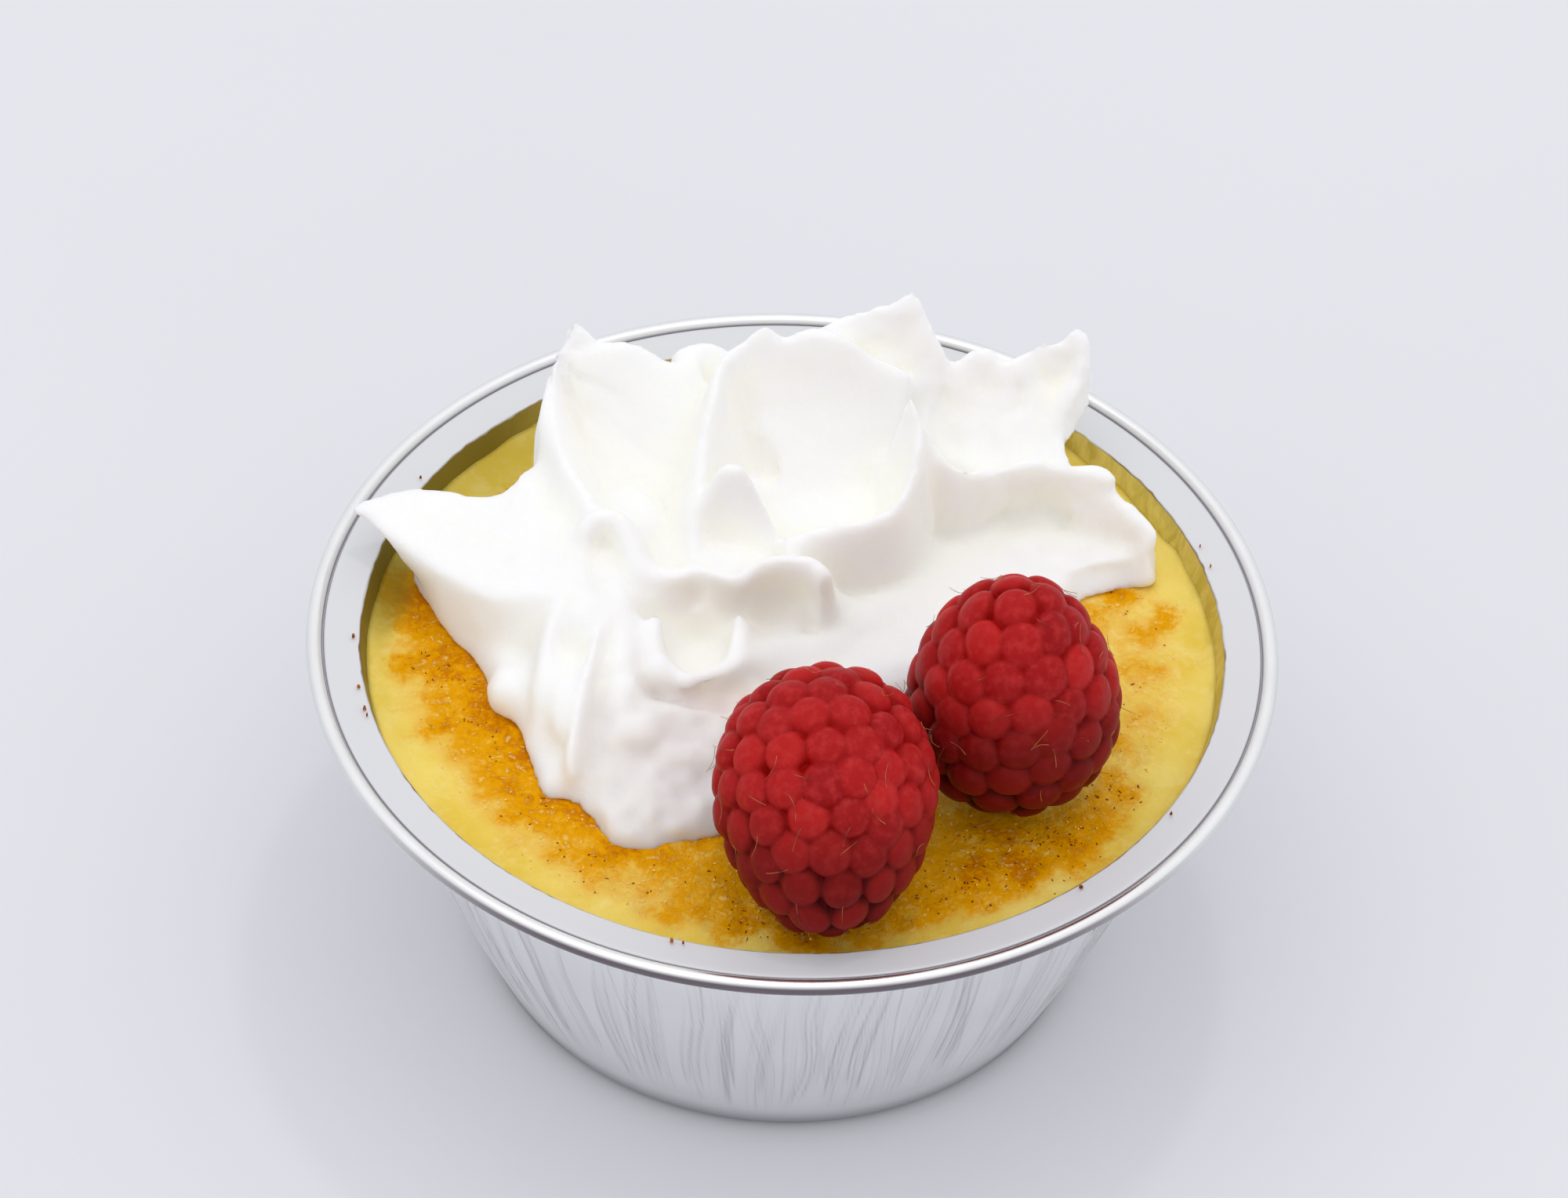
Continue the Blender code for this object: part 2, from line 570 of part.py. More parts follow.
def whipped_cream(collection, cutters, finish):
    shapes = [fold(**spec) for spec in FOLDS.values()] + [tongue(), bed()]
    shapes += [ellipsoid(bump[:3], bump[3:]) for bump in BUMPS]
    item = add_object("whipped_cream", mesh_from(shapes, "whipped_cream"), collection)
    merge = item.modifiers.new("merge", "REMESH")
    merge.mode = "VOXEL"
    merge.voxel_size = CREAM_VOXEL * MM
    for number, hollow in enumerate(HOLLOWS):
        cut(item, guide(f"hollow_{number}", ellipsoid(hollow[:3], hollow[3:]), cutters))
    merge = item.modifiers.new("even", "REMESH")
    merge.mode = "VOXEL"
    merge.voxel_size = CREAM_VOXEL * MM
    soften = item.modifiers.new("soften", "SMOOTH")
    soften.iterations = CREAM_SMOOTHING
    apply_modifiers(item)
    keep_largest_shell(item.data)
    flatten_bottom(item.data)
    thin = item.modifiers.new("thin_out", "DECIMATE")
    thin.ratio = CREAM_TRIANGLES / (2 * len(item.data.polygons))
    thin.use_collapse_triangulate = True
    apply_modifiers(item)
    flatten_bottom(item.data)
    for name, (center, tip, length, width, _turn) in BERRIES.items():
        room = ellipsoid((0, 0, 0), (width + BERRY_GAP, width + BERRY_GAP, length + BERRY_GAP))
        bmesh.ops.transform(room, matrix=berry_place(center, tip), verts=room.verts)
        cut(item, guide("room_for_" + name, room, cutters))
    apply_modifiers(item)
    keep_largest_shell(item.data)
    item.data.materials.clear()
    item.data.materials.append(finish)
    item.data.shade_smooth()
    return item


def berry_place(center, tip):
    """Stands the berry's own +Z along its tip's direction, with its middle at the centre."""
    return Matrix.Translation(Vector(center) * MM) @ Vector(tip).to_track_quat("Z", "Y").to_matrix().to_4x4()


def berry_radius(z, length, width):
    """Outer radius of the egg-shaped berry at height z along its axis, widest nearer its open end."""
    t = z / length
    return width * math.sqrt(max(0.0, 1 - t * t)) * (1 - 0.13 * t)


def drupelets(length, width, turn):
    """Centres of the drupelets: staggered rings round the axis, and one on the tip."""
    inner_length = length - DRUPELET_RADIUS
    inner_width = width - DRUPELET_RADIUS
    rings = round(math.pi * (inner_length + inner_width) / 2 / (DRUPELET_SPACING * 0.78))
    centers = [(0.0, 0.0, inner_length)]
    for ring in range(1, rings + 1):
        angle = math.pi * ring / rings
        z = inner_length * math.cos(angle)
        radius = berry_radius(z, inner_length, inner_width)
        count = max(1, round(math.tau * radius / (DRUPELET_SPACING * 0.72)))
        for k in range(count):
            around = turn + math.tau * (k + 0.5 * (ring % 2)) / count
            centers.append((radius * math.cos(around), radius * math.sin(around), z))
    return np.array(centers)


def raspberry(name, center, tip, length, width, turn, collection, finish):
    """A sphere whose points move out to the farthest drupelet that their direction meets."""
    shape = bmesh.new()
    bmesh.ops.create_icosphere(shape, subdivisions=BERRY_SUBDIVISIONS, radius=1.0)
    centers = drupelets(length, width, turn)
    for vertex in shape.verts:
        direction = np.array(vertex.co.normalized())
        along = centers @ direction
        inside = along**2 - (centers**2).sum(axis=1) + DRUPELET_RADIUS**2
        reach = np.where(inside > 0, along + np.sqrt(np.maximum(inside, 0)), 0)
        vertex.co = Vector(direction * max(reach.max(), 0.5 * width)) * MM
    mesh = mesh_from([shape], name)
    mesh.transform(berry_place(center, tip))
    mesh.shade_smooth()
    return add_object(name, mesh, collection, finish)


def main():
    clear_scene()
    parts = new_collection(NAME)
    cutters = new_collection(NAME + "_cutters")
    foil_cup(parts, material("aluminium_foil", (0.78, 0.79, 0.81), 0.3, 1.0))
    custard(parts, material("baked_custard", (0.86, 0.62, 0.17), 0.4))
    whipped_cream(parts, cutters, material("whipped_cream", (0.93, 0.92, 0.88), 0.5))
    red = material("raspberry", (0.42, 0.03, 0.06), 0.4)
    for name, (center, tip, length, width, turn) in BERRIES.items():
        raspberry(name, center, tip, length, width, turn, parts, red)


main()
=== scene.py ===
"""The looks of the creme brulee: foil cup, burnt custard, whipped cream and two raspberries.

Lengths are written in millimetres and multiplied by MM. -Y is the side with the raspberries.
"""

import math

import bmesh
import bpy
import numpy as np
from mathutils import Matrix, Vector


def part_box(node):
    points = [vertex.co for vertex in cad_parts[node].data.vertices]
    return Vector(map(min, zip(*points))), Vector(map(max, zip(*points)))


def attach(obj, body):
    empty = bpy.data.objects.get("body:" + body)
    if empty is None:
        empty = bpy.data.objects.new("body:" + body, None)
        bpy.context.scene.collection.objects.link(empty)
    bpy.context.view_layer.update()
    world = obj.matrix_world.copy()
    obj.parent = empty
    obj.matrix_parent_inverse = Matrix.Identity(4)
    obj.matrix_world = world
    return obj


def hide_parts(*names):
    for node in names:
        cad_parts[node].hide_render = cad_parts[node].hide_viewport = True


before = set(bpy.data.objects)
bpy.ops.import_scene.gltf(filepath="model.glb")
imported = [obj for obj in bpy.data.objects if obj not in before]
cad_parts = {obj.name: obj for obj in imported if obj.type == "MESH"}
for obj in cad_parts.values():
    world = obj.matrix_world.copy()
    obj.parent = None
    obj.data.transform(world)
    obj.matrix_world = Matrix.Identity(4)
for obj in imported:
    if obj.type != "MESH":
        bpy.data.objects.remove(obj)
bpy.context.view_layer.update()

MM = 0.001

CUP_HIGH = np.array(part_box("foil_cup")[1]) / MM
CUSTARD_HIGH = np.array(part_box("custard")[1]) / MM
CREAM_LOW = np.array(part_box("whipped_cream")[0]) / MM

# ---- foil cup
RIM_RADIUS = float(CUP_HIGH[0])
BEAD_RADIUS = 0.7
BEAD_Z = float(CUP_HIGH[2]) - BEAD_RADIUS
FLANGE_TOP = BEAD_Z + 0.25
FLANGE_INNER_RADIUS = 39.5
FLANGE_DIP = 0.33
# The flange outwards from its inner edge: radius, height over FLANGE_TOP.
FLANGE_SHAPE = [(40.4, -0.26), (41.4, -0.12), (42.1, -0.02), (42.32, -0.02), (42.44, -0.12), (42.5, -0.36)]
FLANGE_END = (43.0, 42.6)
GROOVE = (42.4, 42.62)
BEAD_START = 42.55
LIP_RADIUS = 0.25
# Painted shade under the bead's crown: where it fades in from above and from below, in degrees round the
# bead.
BEAD_SHADE_ABOVE, BEAD_SHADE_BELOW = (52, 30), (-55, -30)
# Dried custard on the inner wall: lowest height, depths under the flange where the film begins and is full,
# and the angles where the painted shadow of the cream on the film's left side fades in and out.
FILM_LOW = 25
FILM_DEPTHS = (0.36, 0.52)
FILM_SHADOW_ANGLES = ((110, 140), (212, 190))
CRUST_HEIGHTS = ((-0.345, -0.375), (-0.50, -0.45))
BASE_RADIUS = 28.3
BASE_CORNER = 2.2
WALL_BULGE = 0.9
FOIL = 0.3
CUP_SEGMENTS = 1300
WALL_ROWS = 24
WALL_TOP_GAP = 0.9
# Heights between which the wall's sway fades in at the bottom, and out at the top.
SWAY_HEIGHTS = ((2.2, 5), (34.6, 31))
# Rows of points near the top of the inner wall, as depths below FLANGE_TOP.
INNER_DEPTHS = (3.6, 2.4, 1.5, 1.0, 0.75)
WRINKLE_GROUPS = 120
WRINKLE_DEPTH = 0.06
WRINKLE_MEAN_RADIUS = 32

# ---- custard
CUSTARD_EDGE = float(CUSTARD_HIGH[2])
CUSTARD_TOP = CUSTARD_EDGE - 0.9
MENISCUS_WIDTH = 1.3
FOIL_OVERLAP = 0.04
CUSTARD_SEGMENTS = 560
CUSTARD_RINGS = 96
# The burnt, grainy middle and the smooth rim.
GRAINY_RADIUS = 33.5
BEADS = 550
BEADS_RADIUS = 36.2
SPECKS_RADIUS = 37.3
# Browned patches: x, y, radius, strength. The strong ones round the raspberries also stand for painted shadow
# of the berries.
STAINS = [
    (-33.6, -2.6, 2.2, 0.8), (-30.5, -3.2, 3.2, 1.15), (-30.8, -7.2, 3.0, 0.75), (-29.6, -10.2, 3.2, 0.9),
    (-26.5, -12.6, 3.4, 0.9), (-25.0, -17.0, 3.2, 0.9), (-21.8, -21.6, 3.2, 0.9), (-19.0, -24.6, 2.8, 0.75),
    (-15.4, -26.0, 3.4, 0.85), (-10.8, -27.2, 3.0, 0.6), (-10.0, -32.0, 2.4, 0.5), (-6.4, -27.6, 3.4, 0.6),
    (-4.4, -30.2, 2.4, 0.7), (-3.0, -33.4, 2.6, 1.1), (2.4, -33.4, 3.0, 1.1), (7.0, -33.4, 3.0, 0.7),
    (12.0, -30.6, 3.2, 0.7), (16.4, -26.2, 3.4, 1.1), (20.8, -25.3, 2.8, 1.2), (18.6, -20.4, 3.4, 1.1),
    (24.6, -22.4, 3.2, 1.0), (27.0, -18.6, 3.4, 0.8), (29.6, -14.6, 2.6, 0.55), (28.6, -9.4, 2.8, 0.5),
    (31.8, -5.4, 2.6, 0.35), (32.0, 0.8, 2.8, 0.45), (31.6, 5.8, 2.6, 0.5), (29.0, 11.4, 2.6, 0.9),
    (33.6, 7.4, 1.8, 0.6), (-33.0, 4.0, 2.2, 0.4), (-27.5, 17.5, 2.6, 0.35), (24.0, 25.0, 3.0, 0.4),
]
# Places of dark burnt specks: x, y, radius, how many.
BURNT_PLACES = [
    (-33.0, -3.4, 1.8, 8), (-30.2, -4.4, 2.0, 9), (-27.6, -9.4, 2.2, 7), (-27.0, -14.0, 2.2, 6),
    (-22.8, -20.2, 2.4, 6), (-15.0, -27.2, 2.6, 8), (-11.8, -29.6, 2.2, 5), (-6.0, -28.4, 2.6, 6),
    (-3.4, -32.8, 2.2, 12), (1.4, -33.6, 2.2, 8), (6.4, -34.6, 2.4, 5), (13.0, -29.0, 3.0, 12),
    (17.4, -26.4, 3.2, 24), (21.4, -22.2, 2.8, 18), (17.0, -20.6, 3.4, 12), (24.8, -21.0, 2.4, 14),
    (27.4, -22.6, 2.0, 6), (24.2, -26.4, 1.8, 7), (29.0, -15.4, 2.4, 15), (26.4, -15.6, 2.4, 8),
    (29.0, 11.8, 1.8, 9), (31.6, 6.4, 2.2, 4), (31.4, -3.0, 2.6, 5), (-20.0, -26.0, 2.4, 4),
]

# Crumbs baked on the flange's inner edge: angle in degrees, size.
CRUMBS = [
    (184, 0.45), (193.5, 0.5), (197.5, 0.62), (198.8, 0.35), (256.5, 0.5), (258, 0.3), (311, 0.45),
    (329, 0.4), (17, 0.35), (21, 0.3), (152, 0.35),
]
CRUMBS_RADIUS = 39.75

# ---- whipped cream
CREAM_VOXEL = 0.45
CREAM_SMOOTHING = 3
FAN_CENTER = (-23.5, 21.5)
HOLLOW_ROUNDS = 90
CREST_STEPS = 5
SLOPE_STEPS = 7
# Recesses darkened by painted shade, and places with a reddish-brown tint: x, y, z, radius, strength.
RECESS_SHADE_PLACES = [
    (-8.0, -1.8, 38.6, 3.0, 0.95), (-10.0, 1.0, 38.8, 2.4, 0.8), (-6.0, 0.6, 39.0, 2.4, 0.9),
    (-2.0, 0.2, 39.2, 3.2, 0.7), (2.0, 0.4, 40.0, 2.6, 0.5),
]
REDDISH_TINT_PLACES = [
    # In the crease under the pocket: painted shade, tinted by painted red light from the raspberries.
    (-6.4, -9.6, 36.2, 2.6, 0.35), (-3.4, -9.0, 35.8, 2.2, 0.5), (-9.2, -10.0, 36.4, 2.0, 0.2),
    # Lower on the front the tint only makes the cream reddish brown.
    (-11.0, -15.0, 35.0, 1.6, 0.14), (-19.2, -18.0, 33.8, 1.6, 0.2),
]
# Each fold of cream is a ridge: the shapes of its two slopes, its crest's thickness, and rows along the
# crest. A slope of 1 is straight, and more is hollow like a petal. A row is a point on the crest (x, y, z),
# how far the cream spreads to its left and to its right at the foot, and the height of that foot.
FOLDS = {
    "left_wall": ((1.3, 1.7), 1.4, [
        (-19, 7.9, 43.9, 1.4, 3, 39.5), (-19.5, 8.8, 44.1, 1.4, 4, 40), (-20.5, 10, 44.6, 1.6, 5, 40),
        (-21.5, 11.6, 45.3, 1.6, 6, 40), (-22.4, 13.8, 46.1, 1.4, 7, 39.6), (-23.1, 16.4, 47.3, 1.1, 7.5, 39),
        (-23.2, 18.6, 48.3, 0.9, 8, 38.5), (-22.7, 20.5, 49.4, 0.8, 8, 38.5), (-22.2, 22.2, 50.2, 0.8, 7, 38),
    ]),
    "left_back": ((1.6, 1.2), 1, [
        (-22.3, 23, 49.6, 1.4, 3, 41), (-21.5, 23.6, 51.7, 2, 4, 40), (-20.4, 23.3, 51, 3, 7, 39),
        (-19, 22.9, 50, 4, 9, 38.4), (-16.4, 23.3, 49.1, 5, 11, 38), (-14.6, 23.2, 48.4, 5, 11, 38),
        (-12.2, 23.2, 47.3, 5, 11, 38.5), (-10, 24.6, 46.8, 4, 10, 39),
    ]),
    "tuft": ((1.5, 1.2), 1.3, [
        (-12, 25, 46.9, 3, 4, 38), (-10.3, 26, 47.1, 3, 4.5, 38), (-8.8, 26.6, 46.9, 3, 5, 38),
        (-7.6, 26.4, 46.3, 3, 5, 38), (-6, 25.4, 45, 3, 4, 38),
    ]),
    "between": ((1.8, 1.8), 1.3, [
        (-9.4, 4.6, 41, 2, 2, 38), (-9.2, 9.8, 44.6, 3, 3, 38), (-9, 13.3, 47.4, 3.4, 4, 38),
        (-8.2, 16.5, 49.6, 4, 6, 38.5), (-7.6, 19.8, 51, 4, 7, 39), (-5.8, 21.6, 51.6, 4, 7, 40),
    ]),
    "middle_back": ((1.6, 1.75), 1.3, [
        (-7.4, 20.6, 51, 4, 6, 40), (-5.6, 21.8, 51.8, 5, 8, 40.5), (-3.9, 22.6, 52.8, 5, 9, 41),
        (-1.9, 22.5, 51.7, 5, 9, 41), (0.6, 23.2, 52.1, 5, 9.5, 41), (3.2, 22.9, 51.8, 5, 9, 41),
        (5.4, 22.6, 50.6, 5, 8, 41), (7.6, 22.2, 49.4, 5, 6, 41), (9.6, 21.8, 48.4, 4, 4, 41),
    ]),
    "fin": ((1.2, 2.2), 1.5, [
        (9.2, 17.8, 48.4, 1.4, 3, 41), (9.7, 16.9, 50.2, 1.2, 4, 39), (10.6, 14.9, 48.7, 1.1, 6, 36.6),
        (10.5, 12.6, 47, 1, 6.6, 36), (9.9, 10.4, 45.4, 0.9, 6.8, 35.4), (8.8, 8.7, 44.4, 0.6, 6.6, 35),
        (7.1, 7.6, 43.8, 0.3, 6, 35), (4.4, 6.9, 43.4, 0.2, 5.6, 35.2), (1.6, 6.3, 43, 0.7, 5, 36),
        (-1.2, 5.3, 42.4, 1.4, 4, 37),
    ]),
    "back_rough": ((1.4, 1.5), 0.9, [
        (0.1, 24.2, 50.8, 4, 3, 42), (2.2, 24.9, 51.8, 5, 4, 42), (4.2, 25.4, 52.4, 5, 5, 42),
        (7, 26, 53, 5, 5, 42), (8.7, 26.2, 53.8, 4, 5, 42), (9.5, 26.4, 54.7, 3.4, 5, 42),
        (10.3, 25.9, 53, 3.4, 4.6, 42), (11.4, 24.9, 50.8, 4, 4.4, 42), (12.8, 24.4, 48.8, 4, 5, 42),
    ]),
    "right_back": ((1.4, 2.3), 0.9, [
        (10, 22.4, 46.6, 4, 5, 40), (12.5, 24.3, 47.4, 5, 7, 40.5), (14.7, 25.3, 48.1, 5, 8, 40.8),
        (17, 26, 48.4, 5, 8, 40.8), (18.1, 25.2, 47.5, 5, 8, 40.8), (19.7, 25.8, 47.9, 4.6, 8, 40.8),
        (21.8, 27.1, 48.9, 3.8, 6.5, 40.5), (22.9, 26.9, 48.4, 2.6, 4, 40.5), (25, 28, 50.3, 1, 1.2, 42),
    ]),
    "right_end": ((1.4, 1.4), 1, [
        (25.5, 28, 49.6, 0.8, 2, 43), (25.6, 26.4, 47.8, 0.8, 3, 42), (24.8, 24.7, 45.8, 0.8, 3.4, 41),
        (23.6, 23.2, 43.8, 0.8, 3.6, 40), (22.9, 22, 42.2, 0.8, 3.6, 39), (23.5, 20.6, 41.2, 1, 3.6, 38),
        (24.6, 19.2, 40.6, 1, 3, 37),
    ]),
    "ledge": ((1.5, 1), 1.7, [
        (9.9, 17, 49, 0.8, 0.8, 37), (10.7, 16.6, 47.6, 1.2, 0.6, 36), (11.8, 15.7, 45.8, 1.6, 0.2, 35),
        (13.4, 14.9, 44.3, 2, -0.3, 34.6), (15.6, 15, 43.1, 2.6, -1, 34.4), (17.9, 16, 42.7, 3, -1.4, 34.4),
        (20.2, 17.1, 42.7, 3, -1.5, 34.4), (22.9, 17.6, 42.3, 3, -1.4, 34.4),
        (25.8, 17.6, 41.7, 2.4, -0.8, 34.8), (28.8, 17.8, 41.2, 0.6, -0.1, 39.4),
    ]),
    "right_lobe": ((1.2, 1.3), 1.2, [
        (25.6, 17, 39.6, 1.5, 1.4, 33.2), (28.2, 16.8, 39.6, 1.4, 2.4, 33.2), (30.1, 16, 39, 1.2, 2.8, 33.2),
        (31.7, 14.9, 38.5, 0.8, 2.6, 33), (32.5, 13.9, 37.8, 0.5, 2, 33), (32, 13, 37, 0.4, 1.6, 33),
        (32.5, 12.2, 35.8, 0.4, 1, 33), (33.4, 11.9, 34, 0.4, 0.6, 33),
    ]),
    "leaf": ((1.6, 2.6), 1.1, [
        (-9.3, 6, 40.4, 2, 1.2, 39), (-9, 7.2, 42.8, 2, 1.3, 38.6), (-8.4, 8, 45.4, 2.2, 1.6, 38.6),
        (-7.5, 8.3, 47.6, 2.4, 1.9, 38.6), (-6.2, 8.4, 48.6, 2.4, 2, 38.6), (-5.1, 8.1, 48, 2.4, 1.9, 38.6),
        (-4, 7.6, 46.2, 2.2, 1.6, 38.6), (-3, 7, 44, 2, 1.3, 38.6), (-2.2, 6.3, 42.2, 2, 1.2, 39),
    ]),
    "long_lip": ((1.3, 1), 1.9, [
        (-19.6, 4.7, 42.9, 1, 0.3, 40), (-18.9, 5.7, 44.1, 2, -0.1, 39.6), (-17.5, 6.1, 44.3, 3, -0.6, 39.4),
        (-16.3, 5.8, 44, 3.4, -0.5, 39), (-15.1, 4.5, 43, 3.6, 0.1, 38), (-14.1, 2.7, 41.8, 3.4, 1, 37),
        (-12.6, 2, 41.3, 3.4, 1, 37), (-10.6, 1.8, 41.1, 4, -0.8, 37), (-9.2, 2.1, 41.5, 4, -1.6, 37),
        (-7.1, 1.7, 41.5, 4, -2.2, 37), (-5.1, 1, 41.8, 4, -2.3, 36.6), (-3.8, 1.7, 42.5, 4, -2.1, 36),
        (-2.2, 2.1, 43.2, 4.2, -2.1, 35.6), (0.7, 2.1, 43.4, 3.4, -1.9, 35.6),
        (1.9, 1.6, 43.1, 2, -1.3, 35.6), (2.7, 0.7, 42.6, 0.8, -0.6, 36),
    ]),
    "behind_lip": ((1.3, 1.3), 3, [
        (-17, 1, 39.8, 3, 3, 35), (-12, 2, 40, 4, 3, 35), (-6, 3.4, 40.2, 4, 3, 35),
        (-1.5, 3.8, 40, 3, 3, 35), (1.6, 3.6, 38.6, 2.4, 2.4, 34), (4, 2.6, 37, 2, 2, 34),
    ]),
    "shoulder": ((1.2, 1.1), 2.2, [
        (-17.4, 2.6, 40.9, 2.4, 1.6, 36), (-15.8, -0.6, 40.6, 3.2, 1.6, 35), (-15.2, -4, 40, 3, 1.6, 35),
        (-15, -7.4, 39.2, 3, 1.8, 34.5), (-14.8, -10.4, 38.2, 3, 2.4, 34), (-14.6, -13.4, 37, 3, 3, 33.6),
        (-14.2, -17, 35.8, 3, 3.4, 33.2), (-13.6, -20.6, 34.2, 3, 3, 33),
    ]),
    "pocket_rim": ((1.4, 1), 1.7, [
        (-12.4, -2.4, 40.2, 0.5, 2, 36), (-12.5, -4.8, 39.5, 0.8, 2, 35.6), (-11.6, -7, 38.8, 1.4, 1, 35.4),
        (-9.6, -8.4, 38.4, 2.2, -0.2, 35.2), (-7.5, -8.3, 38.4, 2.2, -0.4, 35.2),
        (-5.6, -7, 38.5, 1.8, -0.2, 35.2), (-4.6, -5.4, 38.4, 1.2, 1, 35), (-3.4, -3.6, 37.6, 1.2, 3, 34.6),
        (-1.2, -1.8, 36.7, 1.4, 4.6, 34), (1.6, -1, 36.3, 1.6, 5, 33.6), (4.6, 0.4, 35.8, 2, 4, 33.4),
    ]),
    "pocket_side": ((1.3, 1.1), 1.1, [
        (-5, -0.8, 38.8, 2.6, 0.3, 35.5), (-4.9, -3, 38.7, 3.2, 0.3, 35.2), (-5.2, -5.4, 38.5, 3, 0.4, 35),
        (-5.9, -7, 38.3, 2.4, 0.4, 35),
    ]),
    "front_face": ((1.1, 1.2), 2, [
        (-13.6, -11.2, 37.5, 2, 11, 33.2), (-11, -11.2, 37.1, 1.4, 11.4, 33), (-8.4, -11, 36.9, 1, 11.2, 33),
        (-5.4, -10, 36.6, 1, 10, 33), (-2.2, -8.6, 36.1, 1.4, 8.6, 33), (2, -6.2, 35.4, 2, 6.4, 33),
        (7, -3, 34.8, 2, 4, 33),
    ]),
    "thin_fold": ((1.7, 1.1), 0.9, [
        (-16.2, -2.6, 40.6, 1.6, 0.7, 37), (-17.4, -5, 40.3, 2, 0.5, 35.5), (-18.1, -8.8, 39.7, 2.2, 0.3, 35),
        (-18.7, -12.4, 38.7, 2.6, 0.2, 34.4), (-19.1, -15.4, 37.7, 2.6, 0.2, 34),
        (-19.2, -17.4, 36.6, 2.2, 0.2, 33.4), (-18.7, -18.5, 35, 1.4, 0.3, 33),
    ]),
    "left_column": ((1, 1.2), 1.8, [
        (-20.4, -0.6, 41.4, 2.4, 2.6, 36), (-21.4, -3.6, 40.6, 1.7, 2.4, 35),
        (-21.9, -6.6, 39.4, 1.3, 1.8, 34), (-21.9, -9.4, 38, 1.2, 1.3, 33.6),
        (-21.8, -11.8, 36.4, 1.1, 1.2, 33.2), (-21.8, -13.8, 34.4, 1, 1, 33),
    ]),
    "right_middle": ((1.2, 1.2), 3, [
        (4, 2.4, 36.2, 3, 5, 33), (8, 4.6, 35.8, 3, 6, 33), (12, 8.2, 35.5, 4, 7, 33),
        (16, 11, 35.2, 3.4, 7, 33), (21, 12.7, 35.1, 3, 5, 33), (26, 13.6, 35, 2, 3, 33),
        (30, 14.2, 34.8, 1.4, 1.6, 33),
    ]),
}
# The long lobe on the left: front top, back top, back bottom and front bottom of each section.
TONGUE = [
    [(-40.7, 8.6, 40.5), (-40.7, 9.3, 40.9), (-40.5, 9.3, 40.1), (-40.5, 8.7, 40)],
    [(-38.4, 7, 40.3), (-38.6, 10.7, 40.9), (-38, 10.3, 39), (-37.8, 7.8, 38.8)],
    [(-35.4, 4.2, 40), (-35.6, 11.9, 40.8), (-34.6, 11.4, 36), (-34.9, 6.2, 34.8)],
    [(-31.6, 1, 40), (-31.4, 11.3, 41), (-31, 11, 33), (-31.6, 1.2, 33.6)],
    [(-27.6, -1.4, 40.2), (-27.6, 11.4, 41.3), (-27.6, 12, 33), (-27.8, -2.4, 33.4)],
    [(-24, -2, 40.9), (-24.4, 14.4, 42.3), (-24, 16, 33), (-24.4, -4.4, 34)],
    [(-18.6, -0.4, 41), (-20, 16, 42.4), (-20, 18, 33), (-20.4, -3, 35)],
]
# Outline of the foot on the custard, counter-clockwise.
FOOT = [
    (-35.2, 7.9), (-33.4, 3.9), (-31, -0.1), (-28.7, -3), (-27.7, -5.6), (-27.1, -8.5), (-24.7, -10.3),
    (-23.6, -13.2), (-22.6, -16.1), (-21.6, -18.7), (-19, -19.3), (-17.3, -21.3), (-16.1, -23.2),
    (-14.8, -24.7), (-11.7, -24.9), (-8.3, -23.7), (-4.5, -22), (-1, -18), (5, -11.5), (10, -6), (16, -3.5),
    (22, 1), (26.4, 10), (27.8, 11.4), (29.6, 12.6), (30.8, 12.2), (32.6, 11.8), (33.4, 12.8), (32.4, 16),
    (30.5, 20), (25, 25.5), (17, 30.5), (6, 31), (-8, 31), (-19, 28), (-26, 21), (-31, 15), (-34.5, 11.5),
]
# Rounded bumps and hollows: centre, then half sizes.
BUMPS = [
    (-25.4, -7.2, 34.4, 2.1, 2.6, 2.3), (-21, 23.5, 49, 1.4, 1.2, 2.3), (-15.8, 9.4, 39.4, 3.6, 4.8, 2.5),
    (-18, 3, 38.4, 3.2, 3.8, 2.5), (-18.6, -1.4, 38, 3.4, 4.2, 2.9), (-20, -8.4, 35.6, 2, 6.4, 2.9),
    (1.2, 14.8, 38.2, 8.5, 6.5, 3), (3, 23.5, 37.5, 17, 6.2, 4.6), (-13.5, 22.5, 36, 8.5, 5.5, 3.6),
    (16.8, 20.8, 38, 8.4, 4.2, 3), (-13.6, 13, 36.8, 6.5, 7, 2.2), (-24, 6, 37.6, 6, 8, 3.2),
    (-13, 7.4, 36.6, 6, 6.4, 3.2), (-6, 4.4, 38.4, 4.6, 3.6, 2.9), (-13.4, -13.4, 35.6, 2.8, 2.6, 1.9),
    (-9, -15.6, 34.8, 3.4, 2.2, 1.7), (-10.6, -21, 33.4, 3.6, 2.6, 1.5),
]
HOLLOWS = [
    (-8.4, -2.6, 39.8, 2.9, 4.2, 2.8), (-1, 0.3, 38.7, 3.6, 1.7, 3.1), (-7.2, -9.6, 36.9, 3.6, 1.5, 0.9),
]
# Height and inward shift of the outlines that the low bed of cream is built from.
BED_LEVELS = [(CUSTARD_TOP - 0.1, 0.0), (33.6, 0.3), (34.6, 0.9), (35.3, 1.9)]

# ---- raspberries
# Centre, direction of the tip, half length, radius, taper to the tip, width of a drupelet, random seed.
BERRIES = {
    "raspberry_front": ((3.4, -27.86, 42.8), (0.05, -0.91, -0.42), 12.2, 9.95, 0.10, 3.85, 4),
    "raspberry_back": ((19.6, -14.5, 44.55), (0.0, -0.08, 1.0), 12.3, 9.55, 0.22, 4.15, 9),
}
BERRY_SUBDIVISIONS = 7
DRUPELET_HEIGHT = 1.75
DOME_POWERS = (2.7, 0.55)
PACKING_ROUNDS = 90
# Heights between which painted shade darkens a berry's skin towards the custard, and the direction that its
# lit side faces; the side facing away gets painted shade too.
SHADE_HEIGHTS = (48.0, 36.0)
LIT_SIDE = (0.0, 0.35, 0.93)
HAIR_RADIUS = 0.028
HAIR_POINTS = 8
HAIR_SHARE = 0.6


